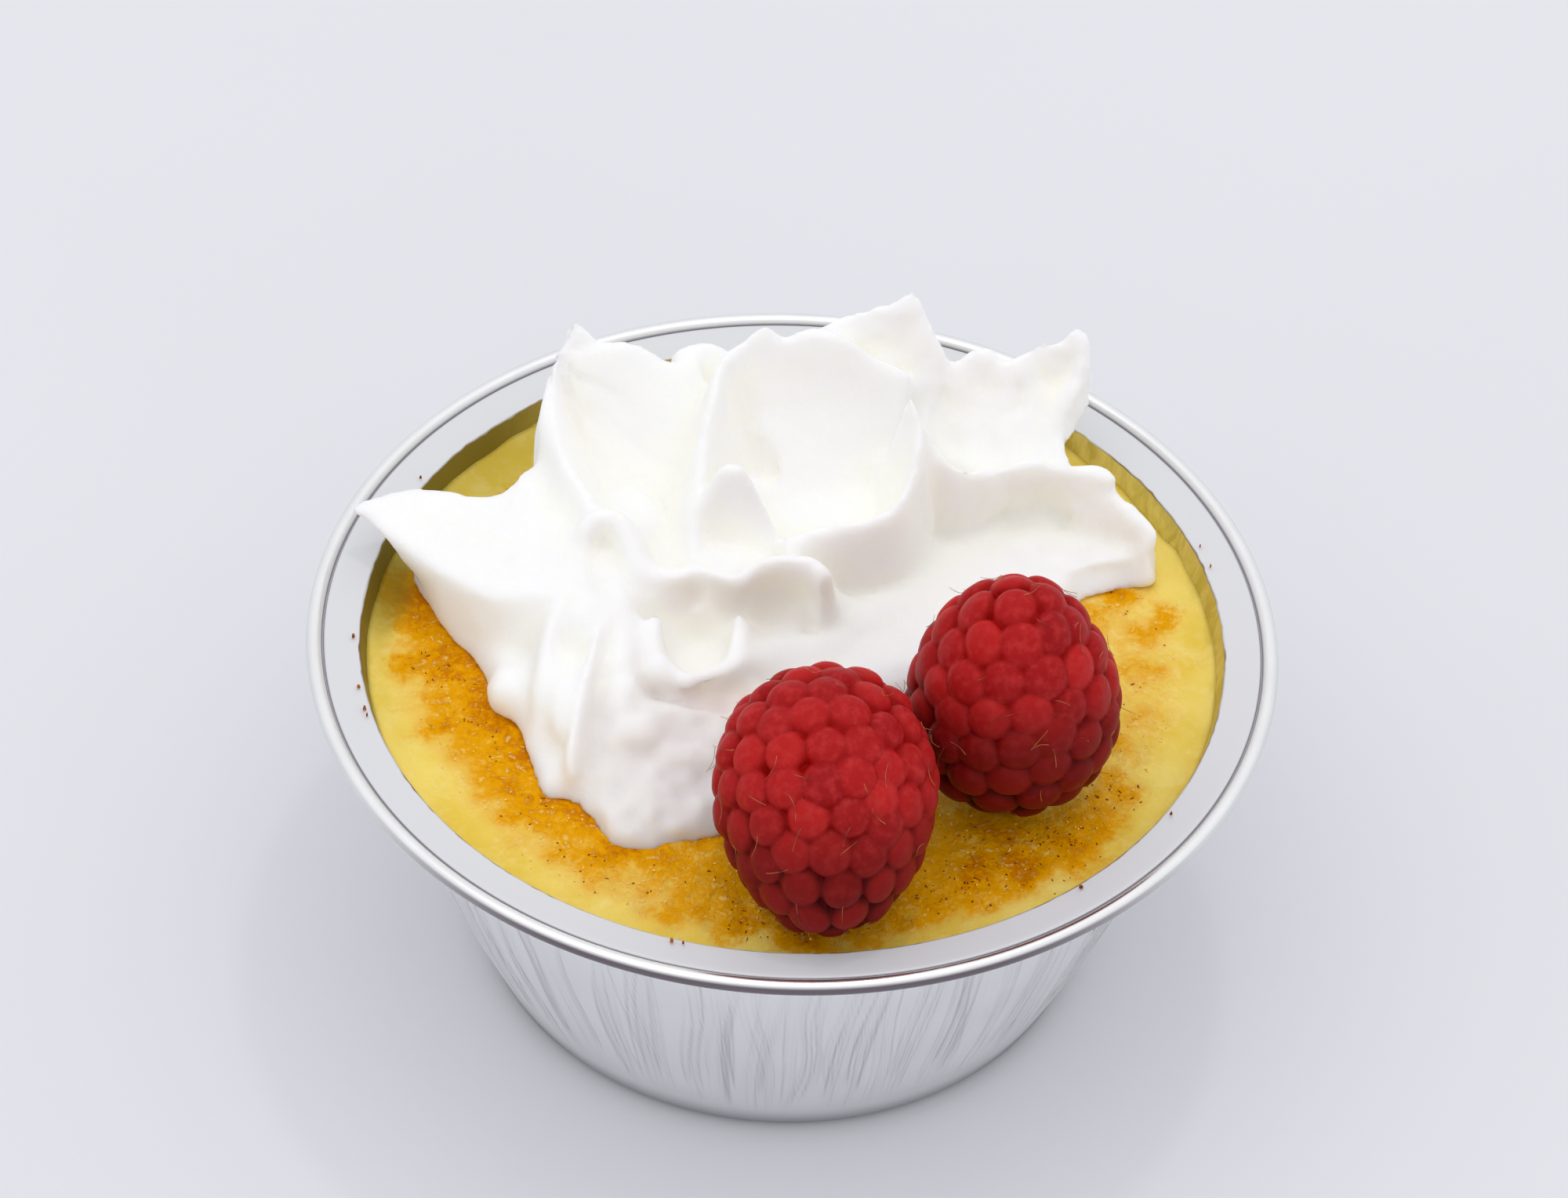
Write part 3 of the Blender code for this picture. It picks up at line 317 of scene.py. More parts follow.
# ==== helpers for meshes
def new_piece(name, vertices, faces, smooth=True):
    """A mesh object from points in millimetres."""
    mesh = bpy.data.meshes.new(name)
    mesh.from_pydata((np.asarray(vertices, float) * MM).tolist(), [], faces)
    mesh.validate()
    if smooth:
        mesh.shade_smooth()
    piece = bpy.data.objects.new(name, mesh)
    bpy.context.scene.collection.objects.link(piece)
    return piece


def add_values(piece, name, values):
    """A value for each point of the mesh, for the material to read."""
    layer = piece.data.attributes.new(name, "FLOAT", "POINT")
    layer.data.foreach_set("value", np.asarray(values, dtype=np.float32))


def points_of(mesh):
    points = np.empty(len(mesh.vertices) * 3)
    mesh.vertices.foreach_get("co", points)
    return points.reshape(-1, 3) / MM


def normals_of(mesh):
    normals = np.empty(len(mesh.vertices) * 3)
    mesh.vertex_normals.foreach_get("vector", normals)
    return normals.reshape(-1, 3)


def move_points(mesh, points):
    mesh.vertices.foreach_set("co", (points * MM).ravel())
    mesh.update()


def relaxed(mesh, points, amount, rounds):
    """The points after moving each towards the mean of its neighbours, several times over."""
    ends = np.empty(len(mesh.edges) * 2, dtype=np.int32)
    mesh.edges.foreach_get("vertices", ends)
    a, b = ends.reshape(-1, 2).T
    here, there = np.concatenate([a, b]), np.concatenate([b, a])
    count = np.maximum(1, np.bincount(here, minlength=len(points)))
    for _ in range(rounds):
        mean = np.stack([np.bincount(here, points[there, k], len(points)) for k in range(3)], axis=1)
        points = points + (mean / count[:, None] - points) * amount
    return points


def soft_noise(points, size, seed):
    """Smooth noise from about -1 to 1, with one bump to each size in millimetres."""
    table = np.random.default_rng(seed).uniform(-1, 1, (24, 24, 24))
    place = np.asarray(points) / size + 100.0
    cell = np.floor(place).astype(int)
    t = place - cell
    t = t * t * (3 - 2 * t)
    total = np.zeros(len(place))
    for corner in np.ndindex(2, 2, 2):
        weight = np.where(corner, t, 1 - t)
        i, j, k = ((cell + corner) % 24).T
        total += weight[:, 0] * weight[:, 1] * weight[:, 2] * table[i, j, k]
    return total


def on_plane(x, y):
    """Points with these x and y at height 0."""
    return np.stack([x, y, np.zeros_like(x)], axis=1)


def spun(points, turn):
    """The points turned about +Z."""
    c, s = math.cos(turn), math.sin(turn)
    return points @ np.array([[c, s, 0], [-s, c, 0], [0, 0, 1]])


def step(value, low, high):
    """Smooth step from 0 at low to 1 at high. It runs the other way where low is above high."""
    t = np.clip((value - low) / (high - low), 0, 1)
    return t * t * (3 - 2 * t)


def arc(center, radius, start, end, count):
    """Points on an arc in the (radius, height) plane. Angles are in degrees."""
    angles = [math.radians(start + (end - start) * k / count) for k in range(count + 1)]
    return [(center[0] + radius * math.cos(a), center[1] + radius * math.sin(a)) for a in angles]


def bands(rings, count):
    """Quads between neighbouring rings of points, ring after ring."""
    return [
        (i * count + j, i * count + (j + 1) % count, (i + 1) * count + (j + 1) % count, (i + 1) * count + j)
        for i in range(rings - 1) for j in range(count)
    ]


def turned(name, profile, segments):
    """A closed solid of revolution from (radius, height) points that begin and end on the axis."""
    inner = np.array(profile[1:-1])
    angles = np.arange(segments) * math.tau / segments
    grid = np.empty((len(inner), segments, 3))
    grid[:, :, 0] = inner[:, :1] * np.cos(angles)
    grid[:, :, 1] = inner[:, :1] * np.sin(angles)
    grid[:, :, 2] = inner[:, 1:]
    vertices = np.vstack([grid.reshape(-1, 3), (0, 0, profile[0][1]), (0, 0, profile[-1][1])])
    first, last = len(vertices) - 2, len(vertices) - 1
    last_ring = (len(inner) - 1) * segments
    faces = []
    for j in range(segments):
        k = (j + 1) % segments
        faces += [(first, k, j), (last, last_ring + j, last_ring + k)]
    return new_piece(name, vertices, faces + bands(len(inner), segments))


def wall_radius(z):
    """Outer radius of the tapered, slightly bulging wall at height z."""
    t = (z - BASE_CORNER) / (FLANGE_TOP - BASE_CORNER)
    return BASE_RADIUS + (FLANGE_INNER_RADIUS - BASE_RADIUS) * t + WALL_BULGE * 4 * t * (1 - t)


# ==== helpers for materials
class Surface:
    """A Principled material and the few nodes that the looks here are made from."""

    def __init__(self, name, **settings):
        self.material = bpy.data.materials.new(name)
        self.material.use_nodes = True
        self.tree = self.material.node_tree
        self.shader = self.tree.nodes["Principled BSDF"]
        self.coordinates = self.tree.nodes.new("ShaderNodeTexCoord").outputs["Object"]
        for key, value in settings.items():
            self.shader.inputs[key.replace("_", " ")].default_value = value

    def node(self, kind, **settings):
        node = self.tree.nodes.new(kind)
        for key, value in settings.items():
            setattr(node, key, value)
        return node

    def feed(self, socket, value):
        if isinstance(value, bpy.types.NodeSocket):
            self.tree.links.new(value, socket)
        else:
            socket.default_value = value

    def stretched(self, scale):
        node = self.node("ShaderNodeMapping")
        self.feed(node.inputs["Vector"], self.coordinates)
        node.inputs["Scale"].default_value = scale
        return node.outputs["Vector"]

    def noise(self, size, detail=3.0, roughness=0.55, distortion=0.0, vector=None):
        """Noise with bumps about size millimetres across."""
        node = self.node("ShaderNodeTexNoise")
        self.feed(node.inputs["Vector"], vector or self.coordinates)
        node.inputs["Scale"].default_value = 1 / (size * MM)
        node.inputs["Detail"].default_value = detail
        node.inputs["Roughness"].default_value = roughness
        node.inputs["Distortion"].default_value = distortion
        return node.outputs["Fac"]

    def value(self, name):
        return self.node("ShaderNodeAttribute", attribute_name=name).outputs["Fac"]

    def spread(self, value, low, high, to_low=0.0, to_high=1.0):
        node = self.node("ShaderNodeMapRange", interpolation_type="SMOOTHSTEP")
        numbers = {"Value": value, "From Min": low, "From Max": high, "To Min": to_low, "To Max": to_high}
        for key, number in numbers.items():
            self.feed(node.inputs[key], number)
        return node.outputs["Result"]

    def math(self, operation, a, b=0.0):
        node = self.node("ShaderNodeMath", operation=operation)
        self.feed(node.inputs[0], a)
        self.feed(node.inputs[1], b)
        return node.outputs[0]

    def times(self, a, b):
        return self.math("MULTIPLY", a, b)

    def mix(self, factor, a, b):
        node = self.node("ShaderNodeMix", data_type="RGBA")
        self.feed(node.inputs["Factor"], factor)
        for socket, color in zip([s for s in node.inputs if s.type == "RGBA"], (a, b)):
            self.feed(socket, color if isinstance(color, bpy.types.NodeSocket) else (*color, 1))
        return next(s for s in node.outputs if s.type == "RGBA")

    def bump(self, height, depth, strength=1.0):
        node = self.node("ShaderNodeBump")
        self.feed(node.inputs["Height"], height)
        node.inputs["Distance"].default_value = depth * MM
        node.inputs["Strength"].default_value = strength
        return node.outputs["Normal"]

    def finish(self, color=None, roughness=None, normal=None):
        for key, value in (("Base Color", color), ("Roughness", roughness), ("Normal", normal)):
            if value:
                self.feed(self.shader.inputs[key], value)
        return self.material


def declare(piece, slot, *nodes):
    """Rides the piece on the one body and hides the CAD nodes that it stands for. The slot is not used."""
    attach(piece, "root")
    if nodes:
        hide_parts(*nodes)


# ==== foil cup
def foil_material():
    """Bright aluminium foil with a faint milky grain, a dull flange, and painted shade in the wrinkles, at
    the foot and round the bead.
    """
    s = Surface("bright_foil", IOR=1.5)
    broad = s.noise(6, 2)
    fine = s.noise(0.5, 3)
    color = s.mix(s.spread(broad, 0.3, 0.7), (0.90, 0.90, 0.905), (0.93, 0.93, 0.935))
    # Painted shade in the wrinkles' creases.
    color = s.mix(s.times(s.value("crease_shade"), 0.5), color, (0.33, 0.33, 0.36))
    # Painted shade darkens the foil towards the bottom corner of the wall.
    color = s.mix(s.value("foot"), color, (0.26, 0.26, 0.285))
    flat = s.value("flat")
    color = s.mix(flat, color, (0.70, 0.705, 0.73))
    # Painted shade under the bead's crown and in its groove, darkest on the front; the foil is less metallic
    # there.
    color = s.mix(s.value("bead_shade"), color, (0.13, 0.105, 0.125))
    dull = s.math("MAXIMUM", flat, s.value("bead_shade"))
    s.feed(s.shader.inputs["Metallic"], s.spread(dull, 0.0, 1.0, 0.95, 0.15))
    rough = s.math("ADD", s.spread(broad, 0.3, 0.7, 0.20, 0.26), s.times(flat, 0.35))
    return s.finish(color, rough, s.bump(fine, 0.002))


def filmed_foil_material():
    """Inside of the wall, where a baked yellow film of custard has dried on the foil."""
    s = Surface("filmed_foil", IOR=1.45, Specular_IOR_Level=0.5)
    streaks = s.noise(2.2, 4, 0.6, 0.6, s.stretched((1, 1, 0.35)))
    color = s.mix(s.spread(streaks, 0.34, 0.66), (0.52, 0.40, 0.055), (0.74, 0.60, 0.15))
    # Painted shadow of the cream's left lobe darkens the film on the left side.
    color = s.mix(s.value("painted_shadow"), color, (0.20, 0.145, 0.010))
    film = s.value("film")
    patchy = s.math("ADD", film, s.times(s.math("SUBTRACT", streaks, 0.5), 0.8))
    cover = s.spread(patchy, 0.35, 0.65)
    color = s.mix(cover, (0.66, 0.665, 0.685), color)
    color = s.mix(s.value("crust"), color, (0.19, 0.095, 0.022))
    s.feed(s.shader.inputs["Metallic"], s.spread(cover, 0.0, 1.0, 0.35, 0.1))
    return s.finish(color, s.spread(streaks, 0.3, 0.7, 0.42, 0.55), s.bump(streaks, 0.05))


def wrinkles(angles, heights):
    """Depth of the fine wavy creases down the wall, at each height and angle. 0 is none."""
    draw = np.random.default_rng(31)
    depth = np.zeros((len(heights), len(angles)))
    t = ((heights - BASE_CORNER) / (FLANGE_TOP - BASE_CORNER))[:, None]
    around = angles[None, :]
    for k in range(WRINKLE_GROUPS):
        start = math.tau * (k + draw.uniform(-0.45, 0.45)) / WRINKLE_GROUPS
        slant = draw.normal(0, 0.045)
        wave = draw.uniform(0.004, 0.016)
        beat = draw.uniform(5, 9)
        phase = draw.uniform(0, math.tau)
        for _ in range(draw.integers(4, 9)):
            start += draw.uniform(0.007, 0.014)
            low, high = draw.uniform(0.0, 0.2), draw.uniform(0.75, 1.25)
            width = draw.uniform(0.07, 0.105) / WRINKLE_MEAN_RADIUS
            strength = draw.uniform(0.2, 1.0) ** 1.3
            line = start + slant * t + wave * np.sin(beat * t + phase + draw.uniform(-0.3, 0.3))
            off = (around - line + math.pi) % math.tau - math.pi
            window = step(t, low, low + 0.12) * step(t, high, high - 0.55)
            depth += strength * window * np.exp(-((off / width) ** 2))
    return depth


def cup_profile(levels):
    """Outline of the foil as (radius, height): inside of the cup, flange and bead, outside, underside."""
    corner = (BASE_RADIUS - BASE_CORNER, BASE_CORNER)
    lip_z = FLANGE_TOP - FLANGE_DIP - LIP_RADIUS
    lip = (wall_radius(lip_z) - FOIL + LIP_RADIUS, lip_z)
    heights = levels[3:-6:8] + [FLANGE_TOP - depth for depth in INNER_DEPTHS]
    inside = [(0.0, FOIL), (12.0, FOIL)] + arc(corner, BASE_CORNER - FOIL, -90, -20, 3)
    inside += [(wall_radius(z) - FOIL, z) for z in heights] + arc(lip, LIP_RADIUS, 165, 90, 6)
    edge = [(radius, FLANGE_TOP + rise) for radius, rise in FLANGE_SHAPE]
    edge += arc((RIM_RADIUS - BEAD_RADIUS, BEAD_Z), BEAD_RADIUS, 175, -165, 16)
    edge += [(41.2, FLANGE_TOP - FOIL - 0.12)]
    edge += arc((lip[0] + 0.1, lip[1] - FOIL), LIP_RADIUS * 0.6, 95, 170, 2)[:-1]
    outside = [(wall_radius(z), z) for z in reversed(levels)]
    base = arc(corner, BASE_CORNER, -8, -90, 5)[1:] + [(20.0, 0.0), (0.0, 0.0)]
    return inside, edge, outside, base


def shade_cup(cup, points, inner_count):
    """Values for the foil's looks: dull flange, painted shade round the bead and at the foot, dried custard
    inside with painted shadow on its left side.
    """
    z = points[:, 2]
    # Painted shade at the bottom corner of the wall.
    add_values(cup, "foot", 0.8 * step(z, 3.4, 0.5))
    radius = np.linalg.norm(points[:, :2], axis=1)
    around_bead = np.degrees(np.arctan2(z - BEAD_Z, radius - (RIM_RADIUS - BEAD_RADIUS)))
    # Painted shade under the bead's crown, strongest on the front side, and in the groove beside it.
    bead_shade = np.where(radius > BEAD_START, step(around_bead, *BEAD_SHADE_ABOVE) * step(around_bead, *BEAD_SHADE_BELOW), 0)
    groove = ((radius > GROOVE[0]) & (radius < GROOVE[1]) & (z > BEAD_Z)).astype(float)
    near = -points[:, 1] / np.maximum(1, radius)
    bead_shade *= 0.15 + 0.85 * step(near, 0.5, 0.92)
    add_values(cup, "bead_shade", np.maximum(bead_shade, 0.8 * groove))
    add_values(cup, "flat", step(radius, *FLANGE_END) * (z > BEAD_Z - 0.5))
    inner_wall = (np.arange(len(points)) < inner_count) & (z > FILM_LOW)
    ragged = 0.10 * soft_noise(points, 2.0, 33) + 0.06 * soft_noise(points, 0.8, 34)
    line = z - FLANGE_TOP + 0.5 * ragged
    crust = step(line, *CRUST_HEIGHTS[0]) * step(line, *CRUST_HEIGHTS[1])
    crust *= 0.55 + 0.45 * soft_noise(points, 3.0, 35)
    add_values(cup, "crust", np.where(inner_wall, crust, 0))
    film = step(z + ragged, *(FLANGE_TOP - depth for depth in FILM_DEPTHS)) * 1.1
    add_values(cup, "film", np.where(inner_wall, film, 0))
    # Painted shadow on the film between these angles, on the left side.
    around = np.degrees(np.arctan2(points[:, 1], points[:, 0])) % 360
    add_values(cup, "painted_shadow", step(around, *FILM_SHADOW_ANGLES[0]) * step(around, *FILM_SHADOW_ANGLES[1]))


def build_cup():
    """The foil cup: a turned solid whose outer wall sways a little and carries the fine wrinkles."""
    levels = list(np.linspace(BASE_CORNER, FLANGE_TOP - WALL_TOP_GAP, WALL_ROWS))
    inside, edge, outside, base = cup_profile(levels)
    cup = turned("cup", inside + edge + outside + base, CUP_SEGMENTS)
    mesh = cup.data
    points = points_of(mesh)
    angles = np.arange(CUP_SEGMENTS) * math.tau / CUP_SEGMENTS
    first = len(inside + edge) - 1
    wall = slice(first * CUP_SEGMENTS, (first + len(outside)) * CUP_SEGMENTS)
    heights = np.array([p[1] for p in outside])
    depth = wrinkles(angles, heights) * WRINKLE_DEPTH
    rows = points[wall].reshape(*depth.shape, 3)
    flat = rows.reshape(-1, 3)
    sway = soft_noise(flat, 9, 5).reshape(depth.shape) * 0.05
    sway = sway + soft_noise(flat, 3.5, 6).reshape(depth.shape) * 0.012
    hold = step(heights, *SWAY_HEIGHTS[0])[:, None] * step(heights, *SWAY_HEIGHTS[1])[:, None]
    shift = (sway * hold - depth)[..., None]
    rows[..., :2] += shift * rows[..., :2] / np.linalg.norm(rows[..., :2], axis=2, keepdims=True)
    move_points(mesh, points)
    # How far each point lies in a wrinkle, for the painted shade in the creases.
    crease_shade = np.zeros(len(points))
    crease_shade[wall] = depth.ravel() / WRINKLE_DEPTH
    add_values(cup, "crease_shade", np.minimum(crease_shade, 1.2))
    inner_rows = len(inside) - 1
    shade_cup(cup, points, inner_rows * CUP_SEGMENTS)
    mesh.materials.append(foil_material())
    mesh.materials.append(filmed_foil_material())
    used = np.zeros(len(mesh.polygons), dtype=int)
    poles = 2 * CUP_SEGMENTS
    used[poles : poles + (inner_rows - 1) * CUP_SEGMENTS] = 1
    mesh.polygons.foreach_set("material_index", used)
    declare(cup, "foil", "foil_cup")
    return cup


# ==== custard
def custard_radius():
    """Radius of the custard's top, whose edge is a hair inside the foil."""
    return wall_radius(CUSTARD_TOP) - FOIL + FOIL_OVERLAP


def custard_height(x, y):
    """Height of the custard's surface: granular in the middle, smooth near the rim, higher at the wall."""
    radius = np.hypot(x, y)
    points = on_plane(x, y)
    grainy = step(radius, 37.2, GRAINY_RADIUS)
    edge = custard_radius()
    height = CUSTARD_TOP + 0.16 * soft_noise(points, 6.5, 11) + 0.09 * soft_noise(points, 2.6, 12)
    height += grainy * (0.14 * soft_noise(points, 1.5, 13) + 0.085 * soft_noise(points, 0.85, 14))
    climb = np.clip((radius - (edge - MENISCUS_WIDTH)) / MENISCUS_WIDTH, 0, 1)
    ragged = 0.75 + 0.35 * soft_noise(points, 3.1, 15)
    return height + (CUSTARD_EDGE - CUSTARD_TOP) * ragged * climb**2


def custard_level(x, y):
    """Height of the custard's surface at one place."""
    return float(custard_height(np.array([x]), np.array([y]))[0])


def custard_material():
    """Yellow custard, browned in patches, with a wet glassy film of sugar over the grainy part."""
    s = Surface(
        "burnt_custard", IOR=1.42, Subsurface_Weight=0.04, Subsurface_Scale=0.001,
        Subsurface_Radius=(1.0, 0.6, 0.2), Specular_IOR_Level=0.03,
    )
    grainy, stain, edge = s.value("grainy"), s.value("stain"), s.value("edge")
    broad = s.noise(7, 2)
    middle = s.noise(2.0, 4, 0.6, 0.4)
    small = s.noise(0.75, 4, 0.6, 0.3)
    tiny = s.noise(0.35, 3)
    yellow = s.mix(s.spread(broad, 0.35, 0.65), (0.83, 0.60, 0.088), (0.90, 0.705, 0.165))
    yellow = s.mix(s.spread(middle, 0.45, 0.75, 0, 0.6), yellow, (0.92, 0.76, 0.27))
    tan = s.mix(s.spread(small, 0.35, 0.65), (0.85, 0.52, 0.07), (0.93, 0.70, 0.21))
    color = s.mix(s.times(grainy, s.spread(middle, 0.3, 0.62, 0.25, 1)), yellow, tan)
    uneven = s.times(stain, s.spread(small, 0.30, 0.68, 0.62, 1.3))
    uneven = s.times(uneven, s.spread(middle, 0.3, 0.7, 0.72, 1.25))
    color = s.mix(s.spread(uneven, 0.08, 0.55), color, (0.79, 0.355, 0.0))
    color = s.mix(s.spread(uneven, 0.5, 1.2, 0, 0.85), color, (0.56, 0.165, 0.0))
    # Pale yellow spots on the grainy part: painted glints of the sugar.
    painted_glints = s.spread(s.noise(0.75, 2, 0.5, 0.4), 0.56, 0.78)
    pale = s.times(painted_glints, s.times(grainy, 0.6))
    color = s.mix(pale, color, (0.95, 0.74, 0.22))
    flecks = s.times(s.spread(s.noise(1.1, 5, 0.7, 1.2), 0.58, 0.70), s.spread(stain, 0.2, 0.7))
    color = s.mix(s.times(flecks, 0.6), color, (0.36, 0.085, 0.002))
    # The edge value darkens a thin line along the custard's rim and adds painted shadow under the cream's
    # left lobe and at the back left.
    color = s.mix(edge, color, (0.26, 0.20, 0.02))
    relief = s.math("ADD", s.times(small, grainy), s.times(tiny, 0.35))
    rough = s.spread(s.times(grainy, middle), 0.0, 0.6, 0.42, 0.2)
    return s.finish(color, rough, s.bump(relief, 0.28, 0.8))


def to_foot(x, y):
    """Distance on the custard from each place to the outline of the cream's foot."""
    least = np.full(len(x), 99.0)
    for k, (ax, ay) in enumerate(FOOT):
        bx, by = FOOT[k - 1]
        length = (bx - ax) ** 2 + (by - ay) ** 2
        t = np.clip(((x - ax) * (bx - ax) + (y - ay) * (by - ay)) / length, 0, 1)
        least = np.minimum(least, np.hypot(x - ax - t * (bx - ax), y - ay - t * (by - ay)))
    return least


def build_custard():
    """The custard, with its grainy part, browned patches and painted shadow as values on its points."""
    edge = custard_radius()
    ring_radii = edge * np.linspace(0, 1, CUSTARD_RINGS + 1) ** 0.8
    levels = np.linspace(CUSTARD_TOP - 1.0, BASE_CORNER, 8)
    corner = (BASE_RADIUS - BASE_CORNER, BASE_CORNER)
    gap = FOIL - FOIL_OVERLAP
    profile = [(r, CUSTARD_TOP) for r in ring_radii]
    profile += [(wall_radius(z) - gap, z) for z in levels]
    profile += arc(corner, BASE_CORNER - gap, -20, -90, 4) + [(0.0, gap)]
    piece = turned("custard_fill", profile, CUSTARD_SEGMENTS)
    points = points_of(piece.data)
    top = np.zeros(len(points), dtype=bool)
    top[: CUSTARD_RINGS * CUSTARD_SEGMENTS] = True
    top[-2] = True
    points[top, 2] = custard_height(points[top, 0], points[top, 1])
    rim = top & (np.hypot(points[:, 0], points[:, 1]) > edge - 0.01)
    points[rim, :2] *= ((wall_radius(points[rim, 2]) - gap) / edge)[:, None]
    move_points(piece.data, points)
    x, y = points[:, 0], points[:, 1]
    radius = np.hypot(x, y)
    flat = on_plane(x, y)
    wander = 1.2 * soft_noise(flat, 5, 21) + 0.6 * soft_noise(flat, 2, 22)
    grainy = step(radius + wander, 36.6, 33.0)
    stain = np.zeros(len(points))
    warped = flat + on_plane(soft_noise(flat, 3, 23), soft_noise(flat, 3, 24)) * 1.3
    for sx, sy, size, strength in STAINS:
        far = np.hypot(warped[:, 0] - sx, warped[:, 1] - sy) / size
        stain = np.maximum(stain, strength * np.exp(-(far**1.7)))
    foot = to_foot(warped[:, 0] * 0.4 + x * 0.6, warped[:, 1] * 0.4 + y * 0.6)
    beside = np.exp(-((foot / 3.7) ** 1.8)) * step(y, 12, 6) * (0.85 + 0.3 * soft_noise(flat, 3.5, 26))
    # More browning round the raspberries, partly real and partly painted shadow of the berries.
    near_berries = step(y, -15, -21) * step(x, -12, -6)
    stain = np.maximum(np.maximum(stain, beside), (0.22 + 0.36 * near_berries) * grainy)
    add_values(piece, "grainy", grainy)
    add_values(piece, "stain", stain)
    edge_line = step(radius + 0.15 * soft_noise(flat, 1.5, 25), edge - 0.35, edge - 0.05) * 0.35
    # Painted shadow under the cream's left lobe, and weaker painted shade at the back left beside the cream.
    painted_shadow = step(x + 0.19 * (7.9 - y) + 0.5 * soft_noise(flat, 2.2, 27), -33.9, -36.2) * step(y, -4, 5)
    painted_shadow = np.maximum(painted_shadow, 0.5 * step(y, 16, 19) * step(x, -18, -22))
    add_values(piece, "edge", np.maximum(edge_line, 0.7 * painted_shadow))
    piece.data.materials.append(custard_material())
    declare(piece, "custard", "custard")
    return piece


def joined(shapes):
    """Vertices and faces of many small shapes, each (points, faces)."""
    vertices, faces = [], []
    count = 0
    for points, sides in shapes:
        vertices.append(points)
        faces += [tuple(i + count for i in side) for side in sides]
        count += len(points)
    return np.vstack(vertices), faces


def ball(subdivisions):
    shape = bmesh.new()
    bmesh.ops.create_icosphere(shape, subdivisions=subdivisions, radius=1.0)
    points = np.array([v.co[:] for v in shape.verts])
    faces = [tuple(v.index for v in f.verts) for f in shape.faces]
    shape.free()
    return points, faces


def under_cream(x, y):
    """Whether a place on the custard is inside the foot of the cream."""
    inside = False
    for k, (ax, ay) in enumerate(FOOT):
        bx, by = FOOT[k - 1]
        if (ay > y) != (by > y) and x < (bx - ax) * (y - ay) / (by - ay) + ax:
            inside = not inside
    return inside


def grain_material():
    s = Surface("melted_sugar", IOR=1.5, Roughness=0.3, Specular_IOR_Level=0.2)
    tint = s.noise(2.5, 2)
    return s.finish(s.mix(s.spread(tint, 0.35, 0.65), (0.88, 0.55, 0.07), (0.98, 0.80, 0.32)))


def build_grains():
    """Glassy beads of melted sugar standing half out of the custard."""
    draw = np.random.default_rng(77)
    points, sides = ball(1)
    shapes = []
    while len(shapes) < BEADS:
        radius = BEADS_RADIUS * math.sqrt(draw.uniform(0.35, 1))
        angle = draw.uniform(0, math.tau)
        size = draw.uniform(0.05, 0.14)
        stretch = draw.uniform(0.6, 1.8)
        turn = draw.uniform(0, math.tau)
        x, y = radius * math.cos(angle), radius * math.sin(angle)
        if radius > GRAINY_RADIUS and draw.uniform() < (radius - GRAINY_RADIUS) / 2.2:
            continue
        if under_cream(x, y):
            continue
        bead = points * (size * stretch, size / stretch, size * 0.62)
        shapes.append((spun(bead, turn) + (x, y, custard_level(x, y) + 0.05), sides))
    piece = new_piece("sugar_beads", *joined(shapes))
    piece.data.materials.append(grain_material())
    declare(piece, "custard")


def burnt_material():
    s = Surface("burnt_sugar", IOR=1.5, Specular_IOR_Level=0.1)
    tint = s.noise(0.9, 2)
    color = s.mix(s.spread(tint, 0.4, 0.62), (0.17, 0.035, 0.002), (0.42, 0.12, 0.006))
    return s.finish(color, s.spread(tint, 0.3, 0.7, 0.35, 0.6))


def shard(draw, length, width, height, turn, place):
    """A flat irregular crumb that lies at a place."""
    count, sunk = 7, -0.12
    angles = np.arange(count) * math.tau / count
    reach = draw.uniform(0.6, 1.1, count)
    ring = np.stack([np.cos(angles) * reach * length / 2, np.sin(angles) * reach * width / 2], axis=1)
    low = np.column_stack([ring, np.full(count, sunk)])
    high = np.column_stack([ring * 0.7, np.full(count, height)])
    points = np.vstack([low, high, (0, 0, sunk), (0, 0, height * 1.2)])
    faces = []
    for j in range(count):
        k = (j + 1) % count
        faces += [(j, k, count + k, count + j), (2 * count, k, j), (2 * count + 1, count + j, count + k)]
    return spun(points, turn) + place, faces


def build_specks():
    """Dark burnt specks on the custard, and crumbs baked on the flange's inner edge."""
    draw = np.random.default_rng(41)
    shapes = []
    for px, py, size, count in BURNT_PLACES:
        for _ in range(count):
            x, y = px + draw.normal(0, size * 0.6), py + draw.normal(0, size * 0.6)
            length = draw.uniform(0.18, 0.42) * draw.choice([1.0, 1.0, 1.8])
            width = draw.uniform(0.10, 0.24)
            turn = draw.uniform(0, math.tau)
            if under_cream(x, y) or math.hypot(x, y) > SPECKS_RADIUS:
                continue
            place = (x, y, custard_level(x, y) + 0.02)
            shapes.append(shard(draw, length, width, draw.uniform(0.03, 0.08), turn, place))
    for angle, size in CRUMBS:
        a = math.radians(angle)
        place = (CRUMBS_RADIUS * math.cos(a), CRUMBS_RADIUS * math.sin(a), FLANGE_TOP + 0.02)
        shapes.append(shard(draw, size, size * 0.7, 0.16, a + 1.2, place))
    piece = new_piece("burnt_specks", *joined(shapes), smooth=False)
    piece.data.materials.append(burnt_material())
    declare(piece, "custard")


# ==== whipped cream
def spline_point(a, b, c, d, t):
    """The Catmull-Rom curve from b to c."""
    return 0.5 * (2 * b + (c - a) * t + (2 * a - 5 * b + 4 * c - d) * t**2 + (3 * b - a - 3 * c + d) * t**3)


